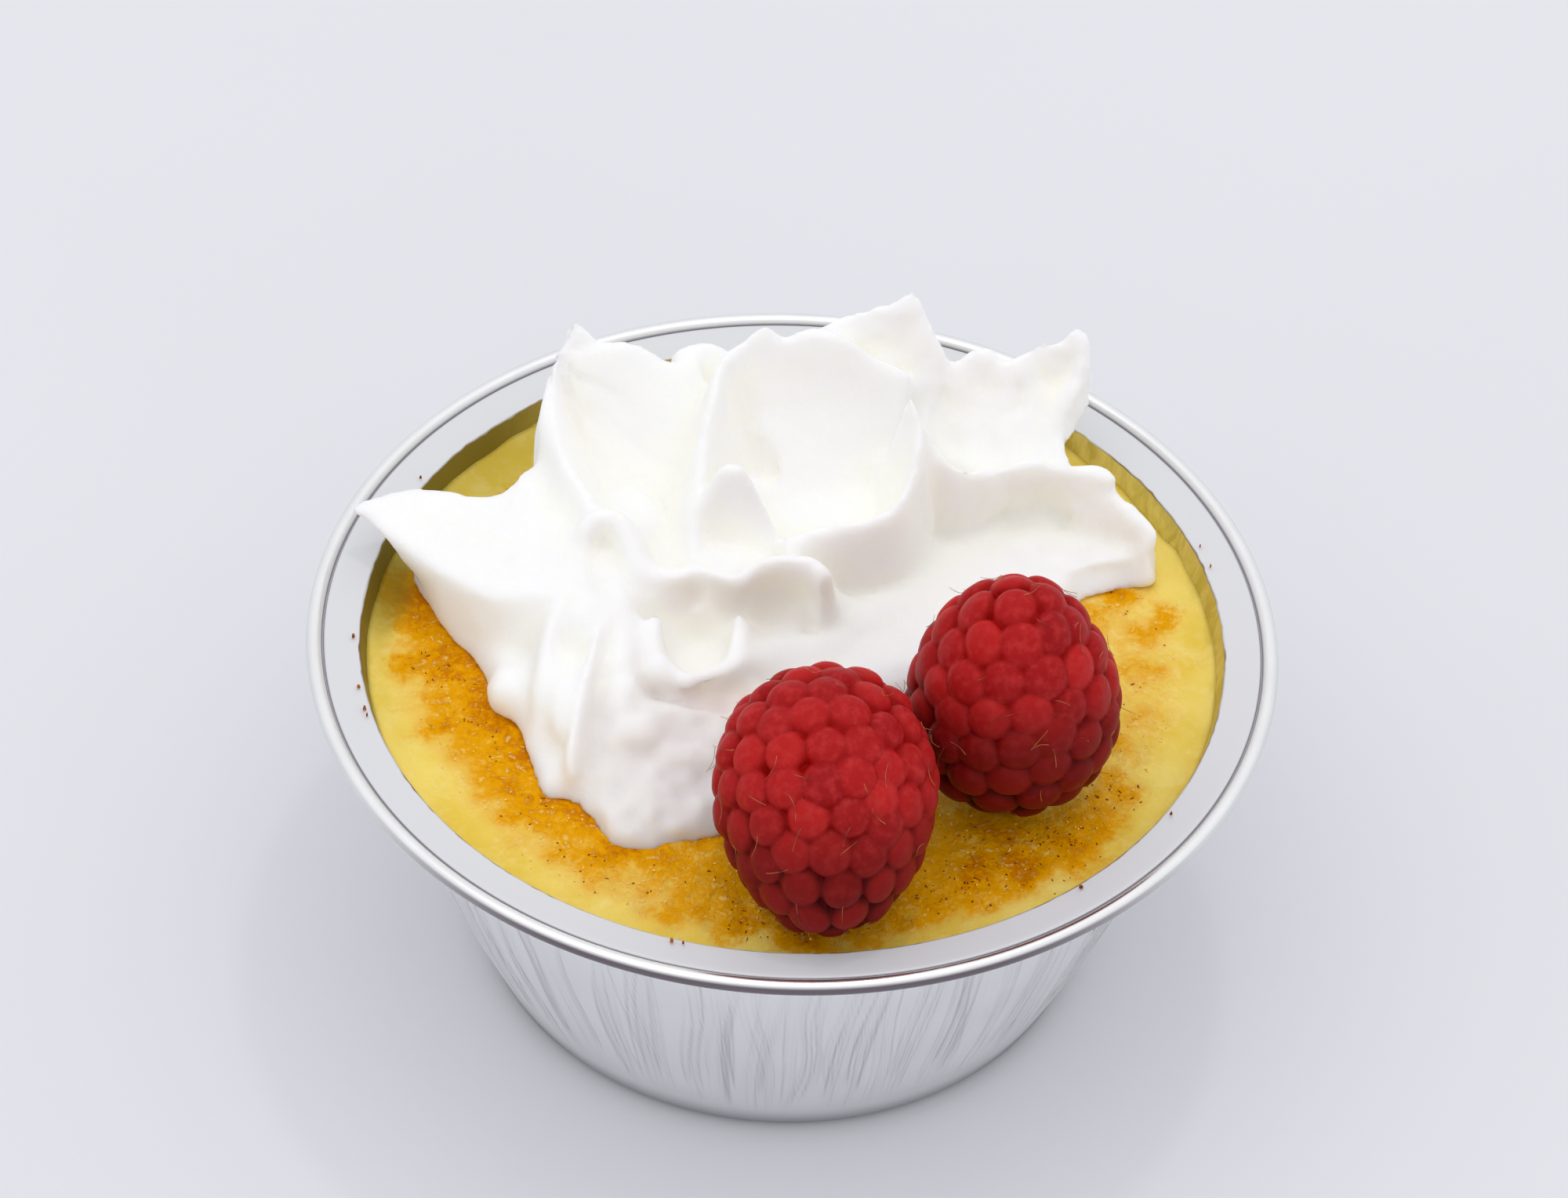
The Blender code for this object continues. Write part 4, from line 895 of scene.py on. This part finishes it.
def smooth_rows(rows, per_span, closed=False):
    """The rows with more between them on a smooth curve."""
    rows = np.array(rows, float)
    if closed:
        padded = np.vstack([rows[-1:], rows, rows[:2]])
    else:
        padded = np.vstack([2 * rows[0] - rows[1], rows, 2 * rows[-1] - rows[-2]])
    line = []
    for i in range(1, len(padded) - 2):
        for k in range(per_span):
            line.append(spline_point(*padded[i - 1 : i + 3], k / per_span))
    if not closed:
        line.append(padded[-2])
    return np.array(line)


def loft(loops):
    """A closed mesh through closed loops of equal length, in millimetres."""
    count = len(loops[0])
    points = [tuple(p) for loop in loops for p in loop]
    faces = bands(len(loops), count)
    for end, flip in ((0, True), (len(loops) - 1, False)):
        middle = len(points)
        points.append(tuple(np.mean(loops[end], axis=0)))
        for j in range(count):
            a, b = end * count + j, end * count + (j + 1) % count
            faces.append((middle, b, a) if flip else (middle, a, b))
    return points, faces


def fold(steep, edge, rows):
    """A ridge of cream along a crest."""
    line = smooth_rows(rows, CREST_STEPS)
    along = np.gradient(line[:, :2], axis=0)
    along /= np.maximum(1e-9, np.linalg.norm(along, axis=1))[:, None]
    across = np.stack([-along[:, 1], along[:, 0]], axis=1)
    loops = []
    for (x, y, z, left, right, foot), side in zip(line, across):
        foot = min(foot, z - 0.5)
        loop = []
        for sign, spread, power in ((1, left, steep[0]), (-1, right, steep[1])):
            half = []
            for k in range(SLOPE_STEPS + 1):
                t = k / SLOPE_STEPS
                off = edge / 2 * min(1, t * 6 + 0.35) + spread * t**power
                half.append((x + sign * side[0] * off, y + sign * side[1] * off, z - (z - foot) * t))
            loop += half if sign == 1 else half[::-1]
        loops.append(loop)
    return loft(loops)


def tongue():
    """The long lobe on the left."""
    sections = smooth_rows(np.array(TONGUE).reshape(len(TONGUE), -1), 4).reshape(-1, 4, 3)
    loops = []
    for section in sections:
        loop = []
        for k in range(4):
            a, b = section[k], section[(k + 1) % 4]
            loop += [a * (1 - t) + b * t for t in (0, 0.25, 0.5, 0.75)]
        loops.append(loop)
    return loft(loops)


def drawn_in(by):
    """The foot's outline moved inwards, most at the front, where the cream slopes back."""
    outline = []
    for i, (x, y) in enumerate(FOOT):
        along = np.subtract(FOOT[(i + 1) % len(FOOT)], FOOT[i - 1])
        along = along / np.linalg.norm(along)
        far = by * (3.2 if y < -14 else 2.0 if y < -5 and x > -20 else 1.0)
        outline.append((x - along[1] * far, y + along[0] * far))
    return outline


def bed():
    """The low mass of cream that the folds stand on."""
    loops = []
    for z, by in BED_LEVELS:
        line = smooth_rows(drawn_in(by), 4, closed=True)
        loops.append([(x, y, z) for x, y in line])
    return loft(loops)


def ellipsoid(x, y, z, rx, ry, rz):
    points, faces = ball(3)
    return points * (rx, ry, rz) + (x, y, z), faces


def remade(piece, *modifiers):
    """Applies modifiers given as (type, settings)."""
    for kind, settings in modifiers:
        modifier = piece.modifiers.new(kind.lower(), kind)
        for key, value in settings.items():
            setattr(modifier, key, value)
    graph = bpy.context.evaluated_depsgraph_get()
    mesh = bpy.data.meshes.new_from_object(piece.evaluated_get(graph))
    piece.modifiers.clear()
    piece.data = mesh


def outward(piece):
    """Turns the normals of every closed shell outwards."""
    shape = bmesh.new()
    shape.from_mesh(piece.data)
    bmesh.ops.recalc_face_normals(shape, faces=shape.faces)
    shape.to_mesh(piece.data)
    shape.free()


def keep_largest_shell(mesh):
    shape = bmesh.new()
    shape.from_mesh(mesh)
    left = set(shape.verts)
    shells = []
    while left:
        shell, edge = set(), [left.pop()]
        while edge:
            vertex = edge.pop()
            shell.add(vertex)
            for link in vertex.link_edges:
                other = link.other_vert(vertex)
                if other in left:
                    left.discard(other)
                    edge.append(other)
        shells.append(shell)
    shells.sort(key=len, reverse=True)
    for shell in shells[1:]:
        bmesh.ops.delete(shape, geom=list(shell), context="VERTS")
    shape.to_mesh(mesh)
    shape.free()


def cream_material():
    """Whipped cream: white, with painted light making it brighter and slightly yellow in the hollows, painted
    shade in the recesses and low on the front, and a reddish-brown tint in places.
    """
    s = Surface(
        "whipped_cream", IOR=1.4, Subsurface_Weight=0.55, Subsurface_Scale=0.001,
        Subsurface_Radius=(2.5, 2.35, 1.6), Specular_IOR_Level=0.35,
    )
    fine = s.noise(0.8, 4, 0.6)
    # Painted light: darker on the crests, brighter and yellower in the hollows, as if light goes round in
    # them.
    color = s.mix(s.spread(s.value("hollow"), -0.3, 0.9), (0.94, 0.937, 0.92), (0.99, 0.98, 0.895))
    # Painted shade on the low front of the cream.
    color = s.mix(s.value("low"), color, (0.835, 0.805, 0.785))
    # Painted shade in the recesses under the lip and round the pocket.
    color = s.mix(s.value("recess_shade"), color, (0.80, 0.755, 0.70))
    # Reddish-brown tint: painted shade with painted red light from the raspberries under the pocket, and
    # reddish-brown marks lower on the front.
    color = s.mix(s.value("reddish_tint"), color, (0.80, 0.52, 0.40))
    return s.finish(color, s.spread(fine, 0.3, 0.7, 0.42, 0.58), s.bump(fine, 0.10, 0.6))


def patches(points, places, squash, power):
    """How strongly each point is in any of the places, given as x, y, z, radius and strength."""
    x, y, z = points.T
    amount = np.zeros(len(points))
    for cx, cy, cz, size, strength in places:
        far = ((x - cx) ** 2 + (y - cy) ** 2 * squash + (z - cz) ** 2 * squash) / size**2
        amount = np.maximum(amount, strength * np.exp(-(far**power)))
    return amount


def roughen_cream(piece):
    """Moves the points along their normals: soft waves all over, torn at the back right, and a ribbed fan."""
    mesh = piece.data
    points, normals = points_of(mesh), normals_of(mesh)
    x, y, z = points.T
    torn = step(x, 9, 14) * step(y, 9, 13)
    torn = np.maximum(torn, step(y, 22.5, 24) * step(x, -1, 2))
    ragged = soft_noise(points * (1, 1, 0.45), 1.7, 56)
    front = step(y, -5, -9) * step(x, -19, -15)
    fan = step(x, -7, -11) * step(y, 5, 9) * step(z, 39, 42)
    angle = np.arctan2(y - FAN_CENTER[1], x - FAN_CENTER[0])
    far = np.hypot(y - FAN_CENTER[1], x - FAN_CENTER[0])
    streaks = soft_noise(np.stack([angle * 12, far * 0.14, angle * 0], axis=1), 1.5, 55)
    lumps = 0.46 * soft_noise(points, 3.1, 54) + 0.36 * soft_noise(points, 1.5, 57)
    amount = 0.30 * soft_noise(points, 5.5, 51) + (0.12 + 0.16 * torn) * soft_noise(points, 2.4, 52)
    amount += (0.035 + 0.12 * torn) * soft_noise(points, 1.1, 53)
    amount += front * lumps + fan * 0.34 * streaks + torn * 0.24 * ragged
    hold = step(z, CUSTARD_TOP - 0.2, CUSTARD_TOP + 1.2)
    points += normals * (amount * (0.25 + 0.75 * hold))[:, None]
    move_points(mesh, np.maximum(points, CREAM_LOW - 1.0))


def build_cream():
    """One skin round all the folds and bumps, less the hollows, smoothed and then roughened."""
    shapes = [fold(*spec) for spec in FOLDS.values()]
    shapes += [tongue(), bed()] + [ellipsoid(*bump) for bump in BUMPS]
    piece = new_piece("cream", *joined([(np.array(p), f) for p, f in shapes]))
    outward(piece)
    voxels = ("REMESH", {"mode": "VOXEL", "voxel_size": CREAM_VOXEL * MM})
    remade(piece, voxels)
    tools = []
    for hollow in HOLLOWS:
        tool = new_piece("hollow", *ellipsoid(*hollow))
        tools.append(tool)
        remade(piece, ("BOOLEAN", {"operation": "DIFFERENCE", "solver": "EXACT", "object": tool}))
    for tool in tools:
        bpy.data.objects.remove(tool)
    remade(piece, voxels, ("SMOOTH", {"factor": 0.5, "iterations": CREAM_SMOOTHING}))
    keep_largest_shell(piece.data)
    mesh = piece.data
    points = points_of(mesh)
    x, y, z = points.T
    soft = 0.6 * step(x, -22, -25) * step(y, 10, 5)
    move_points(mesh, relaxed(mesh, points, soft[:, None], 14))
    points, normals = points_of(mesh), normals_of(mesh)
    x, y, z = points.T
    wide = relaxed(mesh, points, 1.0, HOLLOW_ROUNDS)
    # How far each point lies in a hollow, for the painted light in the hollows.
    add_values(piece, "hollow", np.einsum("ij,ij->i", wide - points, normals))
    # Painted shade on the low front of the cream.
    add_values(piece, "low", step(y, -6.5, -10) * step(z, 38.4, 36.6) * step(x, -20, -16.5))
    # Painted shade in the recesses, on faces that do not look up.
    recess_shade = patches(points, RECESS_SHADE_PLACES, 1, 1.5)
    add_values(piece, "recess_shade", recess_shade * step(normals[:, 2], 0.97, 0.6))
    reddish_tint = patches(points, REDDISH_TINT_PLACES, 2, 1)
    add_values(piece, "reddish_tint", reddish_tint * (0.75 + 0.5 * soft_noise(points, 1.6, 58)).clip(0, 1))
    roughen_cream(piece)
    remade(piece, ("SMOOTH", {"factor": 0.35, "iterations": 1}))
    piece.data.shade_smooth()
    piece.data.materials.clear()
    piece.data.materials.append(cream_material())
    declare(piece, "cream", "whipped_cream")
    return piece


# ==== raspberries
def berry_place(center, tip):
    """Stands the berry's own +Z along its tip's direction, with its middle at the centre."""
    return Matrix.Translation(Vector(center)) @ Vector(tip).to_track_quat("Z", "Y").to_matrix().to_4x4()


def berry_skin(directions, length, width, taper):
    """Distance from the middle to the egg-shaped skin in each direction."""
    reach = np.full(len(directions), (length + width) / 2)
    flat = np.linalg.norm(directions[:, :2], axis=1)
    for _ in range(12):
        z = np.clip(directions[:, 2] * reach / length, -1, 1)
        wide = width * (1 - taper * z)
        reach = 1 / np.sqrt((flat / wide) ** 2 + (directions[:, 2] / length) ** 2)
    return reach


def drupelet_places(length, width, taper, size, draw):
    """Directions of the drupelets, scattered over the skin and then pushed apart to pack them evenly."""
    area = 4 * math.pi * ((2 * (length * width) ** 1.6 + width**3.2) / 3) ** (1 / 1.6)  # of an ellipsoid
    count = round(area / (0.866 * size**2))
    places = draw.normal(size=(count, 3))
    places /= np.linalg.norm(places, axis=1)[:, None]
    weight = draw.uniform(0.85, 1.15, count)
    for _ in range(PACKING_ROUNDS):
        points = places * berry_skin(places, length, width, taper)[:, None]
        apart = points[:, None] - points[None]
        far = np.linalg.norm(apart, axis=2) + 1e-6
        wanted = size * 1.12 * (weight[:, None] + weight[None]) / 2
        push = np.where(far < wanted, (wanted - far) / far, 0)
        np.fill_diagonal(push, 0)
        points += 0.25 * (apart * push[..., None]).sum(axis=1)
        places = points / np.linalg.norm(points, axis=1)[:, None]
    return places


def toward_tip(home):
    """The skin's normal at a drupelet, and the direction along the skin that runs to the berry's tip."""
    normal = home / np.linalg.norm(home)
    tipward = np.array([0, 0, 1.0]) - normal * normal[2]
    return normal, tipward / max(1e-6, np.linalg.norm(tipward))


def berry_material(name):
    """Crimson skin, a little paler on the crowns, with painted shade in the creases and painted shade that
    makes it dark red low down and on the side away from the light.
    """
    s = Surface(
        name, IOR=1.42, Subsurface_Weight=0.3, Subsurface_Scale=0.001, Subsurface_Radius=(1.6, 0.25, 0.2),
        Sheen_Weight=0.01, Sheen_Roughness=0.45, Sheen_Tint=(1.0, 0.55, 0.55, 1),
        Specular_IOR_Level=0.09, Coat_Weight=0.02, Coat_Roughness=0.12,
    )
    crown, shade = s.value("crown"), s.value("shade")
    mottle = s.noise(0.9, 3, 0.6)
    low = s.value("low")
    skin = s.mix(shade, (0.31, 0.006, 0.008), (0.49, 0.014, 0.014))
    skin = s.mix(s.spread(mottle, 0.40, 0.72, 0, 0.5), skin, (0.56, 0.040, 0.038))
    # Painted shade: dark red low down and on the side away from the light.
    skin = s.mix(s.times(low, 0.86), skin, (0.075, 0.003, 0.001))
    # Painted shade in the creases: saturated red for light through the fruit, near black low down.
    crease_shade = s.mix(low, (0.30, 0.001, 0.0), (0.012, 0.0002, 0.0))
    color = s.mix(s.spread(crown, 0.46, 0.86), crease_shade, skin)
    fine = s.noise(0.28, 2)
    return s.finish(color, s.spread(mottle, 0.3, 0.7, 0.38, 0.52), s.bump(fine, 0.05, 0.5))


def hair_material():
    s = Surface("berry_hair", Roughness=0.45)
    tint = s.noise(1.5, 1)
    return s.finish(s.mix(s.spread(tint, 0.4, 0.6), (0.10, 0.026, 0.006), (0.45, 0.17, 0.035)))


def tube(line, radii, sides=5):
    """A closed thin tube along a line of points."""
    line = np.asarray(line)
    along = np.gradient(line, axis=0)
    along /= np.linalg.norm(along, axis=1)[:, None]
    helper = np.array([0.31, 0.77, 0.56])
    angles = np.arange(sides) * math.tau / sides
    loops = []
    for point, direction, radius in zip(line, along, radii):
        u = np.cross(direction, helper)
        u /= np.linalg.norm(u)
        v = np.cross(direction, u)
        loops.append([point + radius * (math.cos(a) * u + math.sin(a) * v) for a in angles])
    points, faces = loft(loops)
    return np.array(points), faces


def build_berry(node, center, tip, length, width, taper, size, seed):
    """A raspberry. Each drupelet is a dome on the skin, and the highest dome wins."""
    draw = np.random.default_rng(seed)
    place = np.array(berry_place(center, tip))
    directions, faces = ball(BERRY_SUBDIVISIONS)
    directions /= np.linalg.norm(directions, axis=1)[:, None]
    skin = berry_skin(directions, length, width, taper) - DRUPELET_HEIGHT
    surface = directions * skin[:, None]
    homes = drupelet_places(length, width, taper, size, draw)
    homes = homes * (berry_skin(homes, length, width, taper) - DRUPELET_HEIGHT)[:, None]
    sizes = size * draw.uniform(0.51, 0.57, len(homes))
    heights = DRUPELET_HEIGHT * draw.uniform(0.88, 1.08, len(homes))
    shades = draw.uniform(0, 1, len(homes))
    best = np.zeros(len(directions))
    crown = np.zeros(len(directions))
    shade = np.full(len(directions), 0.5)
    for home, reach, tall, tone in zip(homes, sizes, heights, shades):
        away = surface - home
        tipward = toward_tip(home)[1]
        far = np.linalg.norm(away, axis=1) / reach
        dome = np.where(far < 1, np.maximum(0, 1 - far ** DOME_POWERS[0]) ** DOME_POWERS[1], 0)
        lean = 1 + 0.10 * np.clip(away @ tipward / reach, -1, 1)
        rise = tall * dome * lean
        higher = rise > best
        best = np.where(higher, rise, best)
        crown = np.where(higher, dome, crown)
        shade = np.where(higher, tone, shade)
    fuzz = 0.045 * soft_noise(surface, 1.3, seed + 60) + 0.02 * soft_noise(surface, 0.6, seed + 61)
    reach = skin + best + fuzz * np.clip(crown * 2, 0, 1)
    points = directions * reach[:, None]
    points = points @ place[:3, :3].T + place[:3, 3]
    berry = new_piece(node.replace("raspberry", "berry"), points, faces)
    remade(berry, ("SMOOTH", {"factor": 0.5, "iterations": 1}))
    berry.data.shade_smooth()
    add_values(berry, "crown", crown)
    add_values(berry, "shade", shade)
    # Painted shade low down near the custard and on the side away from the light.
    turned_to = directions @ place[:3, :3].T
    underside = step(turned_to @ np.array(LIT_SIDE), 0.6, -0.5)
    near_custard = step(points_of(berry.data)[:, 2], *SHADE_HEIGHTS) ** 1.4
    add_values(berry, "low", np.maximum(near_custard, 0.8 * underside))
    berry.data.materials.append(berry_material(node + "_skin"))
    declare(berry, "raspberry", node)
    return homes, sizes, place


def build_hairs(node, homes, sizes, place, length, width, taper, seed):
    """Dry brown hairs, at most one to a drupelet. Most lie over the creases and some stand off the skin."""
    draw = np.random.default_rng(seed + 200)
    shapes = []
    for home, size in zip(homes, sizes):
        if draw.uniform() >= HAIR_SHARE:
            continue
        normal, tipward = toward_tip(home)
        sideways = np.cross(normal, tipward)
        angle = draw.normal(0, 1.1)
        heading = tipward * math.cos(angle) + sideways * math.sin(angle)
        bend = np.cross(normal, heading) * draw.uniform(-0.35, 0.35)
        span = draw.uniform(0.9, 2.2)
        stand = draw.uniform(0.0, 0.35) if draw.uniform() < 0.75 else draw.uniform(0.7, 1.6)
        line = []
        for t in np.linspace(0, 1, HAIR_POINTS):
            run = size * 0.35 + span * t
            spot = home + heading * run + bend * (span * t) ** 2 * 0.5
            spot = spot / np.linalg.norm(spot)
            lift = 0.1 + stand * t**1.6 - 0.25 * math.sin(math.pi * t)
            line.append(spot * (float(berry_skin(spot[None], length, width, taper)[0]) + lift))
        line = np.array(line) @ place[:3, :3].T + place[:3, 3]
        if line[:, 2].min() >= CUSTARD_TOP + 0.4:
            shapes.append(tube(line, HAIR_RADIUS * np.linspace(1.15, 0.6, HAIR_POINTS)))
    piece = new_piece(node.replace("raspberry", "hairs"), *joined(shapes))
    piece.data.materials.append(hair_material())
    declare(piece, "raspberry")


# ==== camera, light and floor
ELEVATION = math.radians(43.69)
ROLL = math.radians(2.65)
DISTANCE = 13.567 * RIM_RADIUS
AIM_RIGHT = 0.0184 * RIM_RADIUS
AIM_UP = -0.0775 * RIM_RADIUS
FOCAL_LENGTH = 151.3
FLOOR_HALF = 4000


def build_camera():
    forward = Vector((0, math.cos(ELEVATION), -math.sin(ELEVATION)))
    flat_right = Vector((1, 0, 0))
    flat_up = Vector((0, math.sin(ELEVATION), math.cos(ELEVATION)))
    right = math.cos(ROLL) * flat_right + math.sin(ROLL) * flat_up
    up = -math.sin(ROLL) * flat_right + math.cos(ROLL) * flat_up
    rim = Vector((0, 0, BEAD_Z))
    place = (rim - AIM_RIGHT * right - AIM_UP * up - DISTANCE * forward) * MM
    camera = bpy.data.objects.new("camera", bpy.data.cameras.new("camera"))
    bpy.context.scene.collection.objects.link(camera)
    camera.data.lens = FOCAL_LENGTH
    camera.data.sensor_width = 36
    camera.data.clip_start = 0.01
    camera.data.clip_end = 50
    camera.matrix_world = Matrix((
        (right.x, up.x, -forward.x, place.x),
        (right.y, up.y, -forward.y, place.y),
        (right.z, up.z, -forward.z, place.z),
        (0, 0, 0, 1),
    ))
    bpy.context.scene.camera = camera


def add_light(name, place, size, power):
    """A round soft light aimed at the middle of the part."""
    data = bpy.data.lights.new(name, "AREA")
    data.shape = "DISK"
    data.size = size
    data.energy = power
    light = bpy.data.objects.new(name, data)
    bpy.context.scene.collection.objects.link(light)
    light.location = place
    light.rotation_euler = (Vector((0, 0, 0.03)) - Vector(place)).to_track_quat("-Z", "Y").to_euler()


def build_studio():
    world = bpy.data.worlds.new("studio")
    bpy.context.scene.world = world
    world.use_nodes = True
    nodes, links = world.node_tree.nodes, world.node_tree.links
    sky = nodes["Background"]
    sky.inputs["Color"].default_value = (0.975, 0.98, 1.0, 1)
    direction = nodes.new("ShaderNodeTexCoord").outputs["Generated"]
    toward = nodes.new("ShaderNodeVectorMath")
    toward.operation = "DOT_PRODUCT"
    links.new(direction, toward.inputs[0])
    toward.inputs[1].default_value = (0.0, -0.2, 0.98)
    ramp = nodes.new("ShaderNodeMapRange")
    ramp.interpolation_type = "SMOOTHSTEP"
    links.new(toward.outputs["Value"], ramp.inputs["Value"])
    for key, number in (("From Min", 0.0), ("From Max", 1.0), ("To Min", 0.82), ("To Max", 1.01)):
        ramp.inputs[key].default_value = number
    links.new(ramp.outputs["Result"], sky.inputs["Strength"])
    add_light("broad", (-0.10, -0.10, 0.90), 0.9, 0.9)
    add_light("small", (0.10, 0.16, 0.85), 0.06, 0.3)

    corners = [(x * FLOOR_HALF, y * FLOOR_HALF, 0) for x, y in ((-1, -1), (1, -1), (1, 1), (-1, 1))]
    floor = new_piece("floor", corners, [(0, 1, 2, 3)])
    s = Surface("floor", IOR=1.45, Specular_IOR_Level=0.2)
    grain = s.noise(120, 2)
    color = s.mix(s.spread(grain, 0.3, 0.7), (0.741, 0.748, 0.784), (0.755, 0.762, 0.798))
    floor.data.materials.append(s.finish(color, s.spread(grain, 0.3, 0.7, 0.5, 0.6)))
    bpy.context.scene.view_settings.view_transform = "Standard"
    bpy.context.scene.view_settings.look = "None"


build_camera()
build_studio()
build_cup()
build_custard()
build_grains()
build_specks()
build_cream()
for node, (center, tip, length, width, taper, size, seed) in BERRIES.items():
    homes, sizes, place = build_berry(node, center, tip, length, width, taper, size, seed)
    build_hairs(node, homes, sizes, place, length, width, taper, seed)
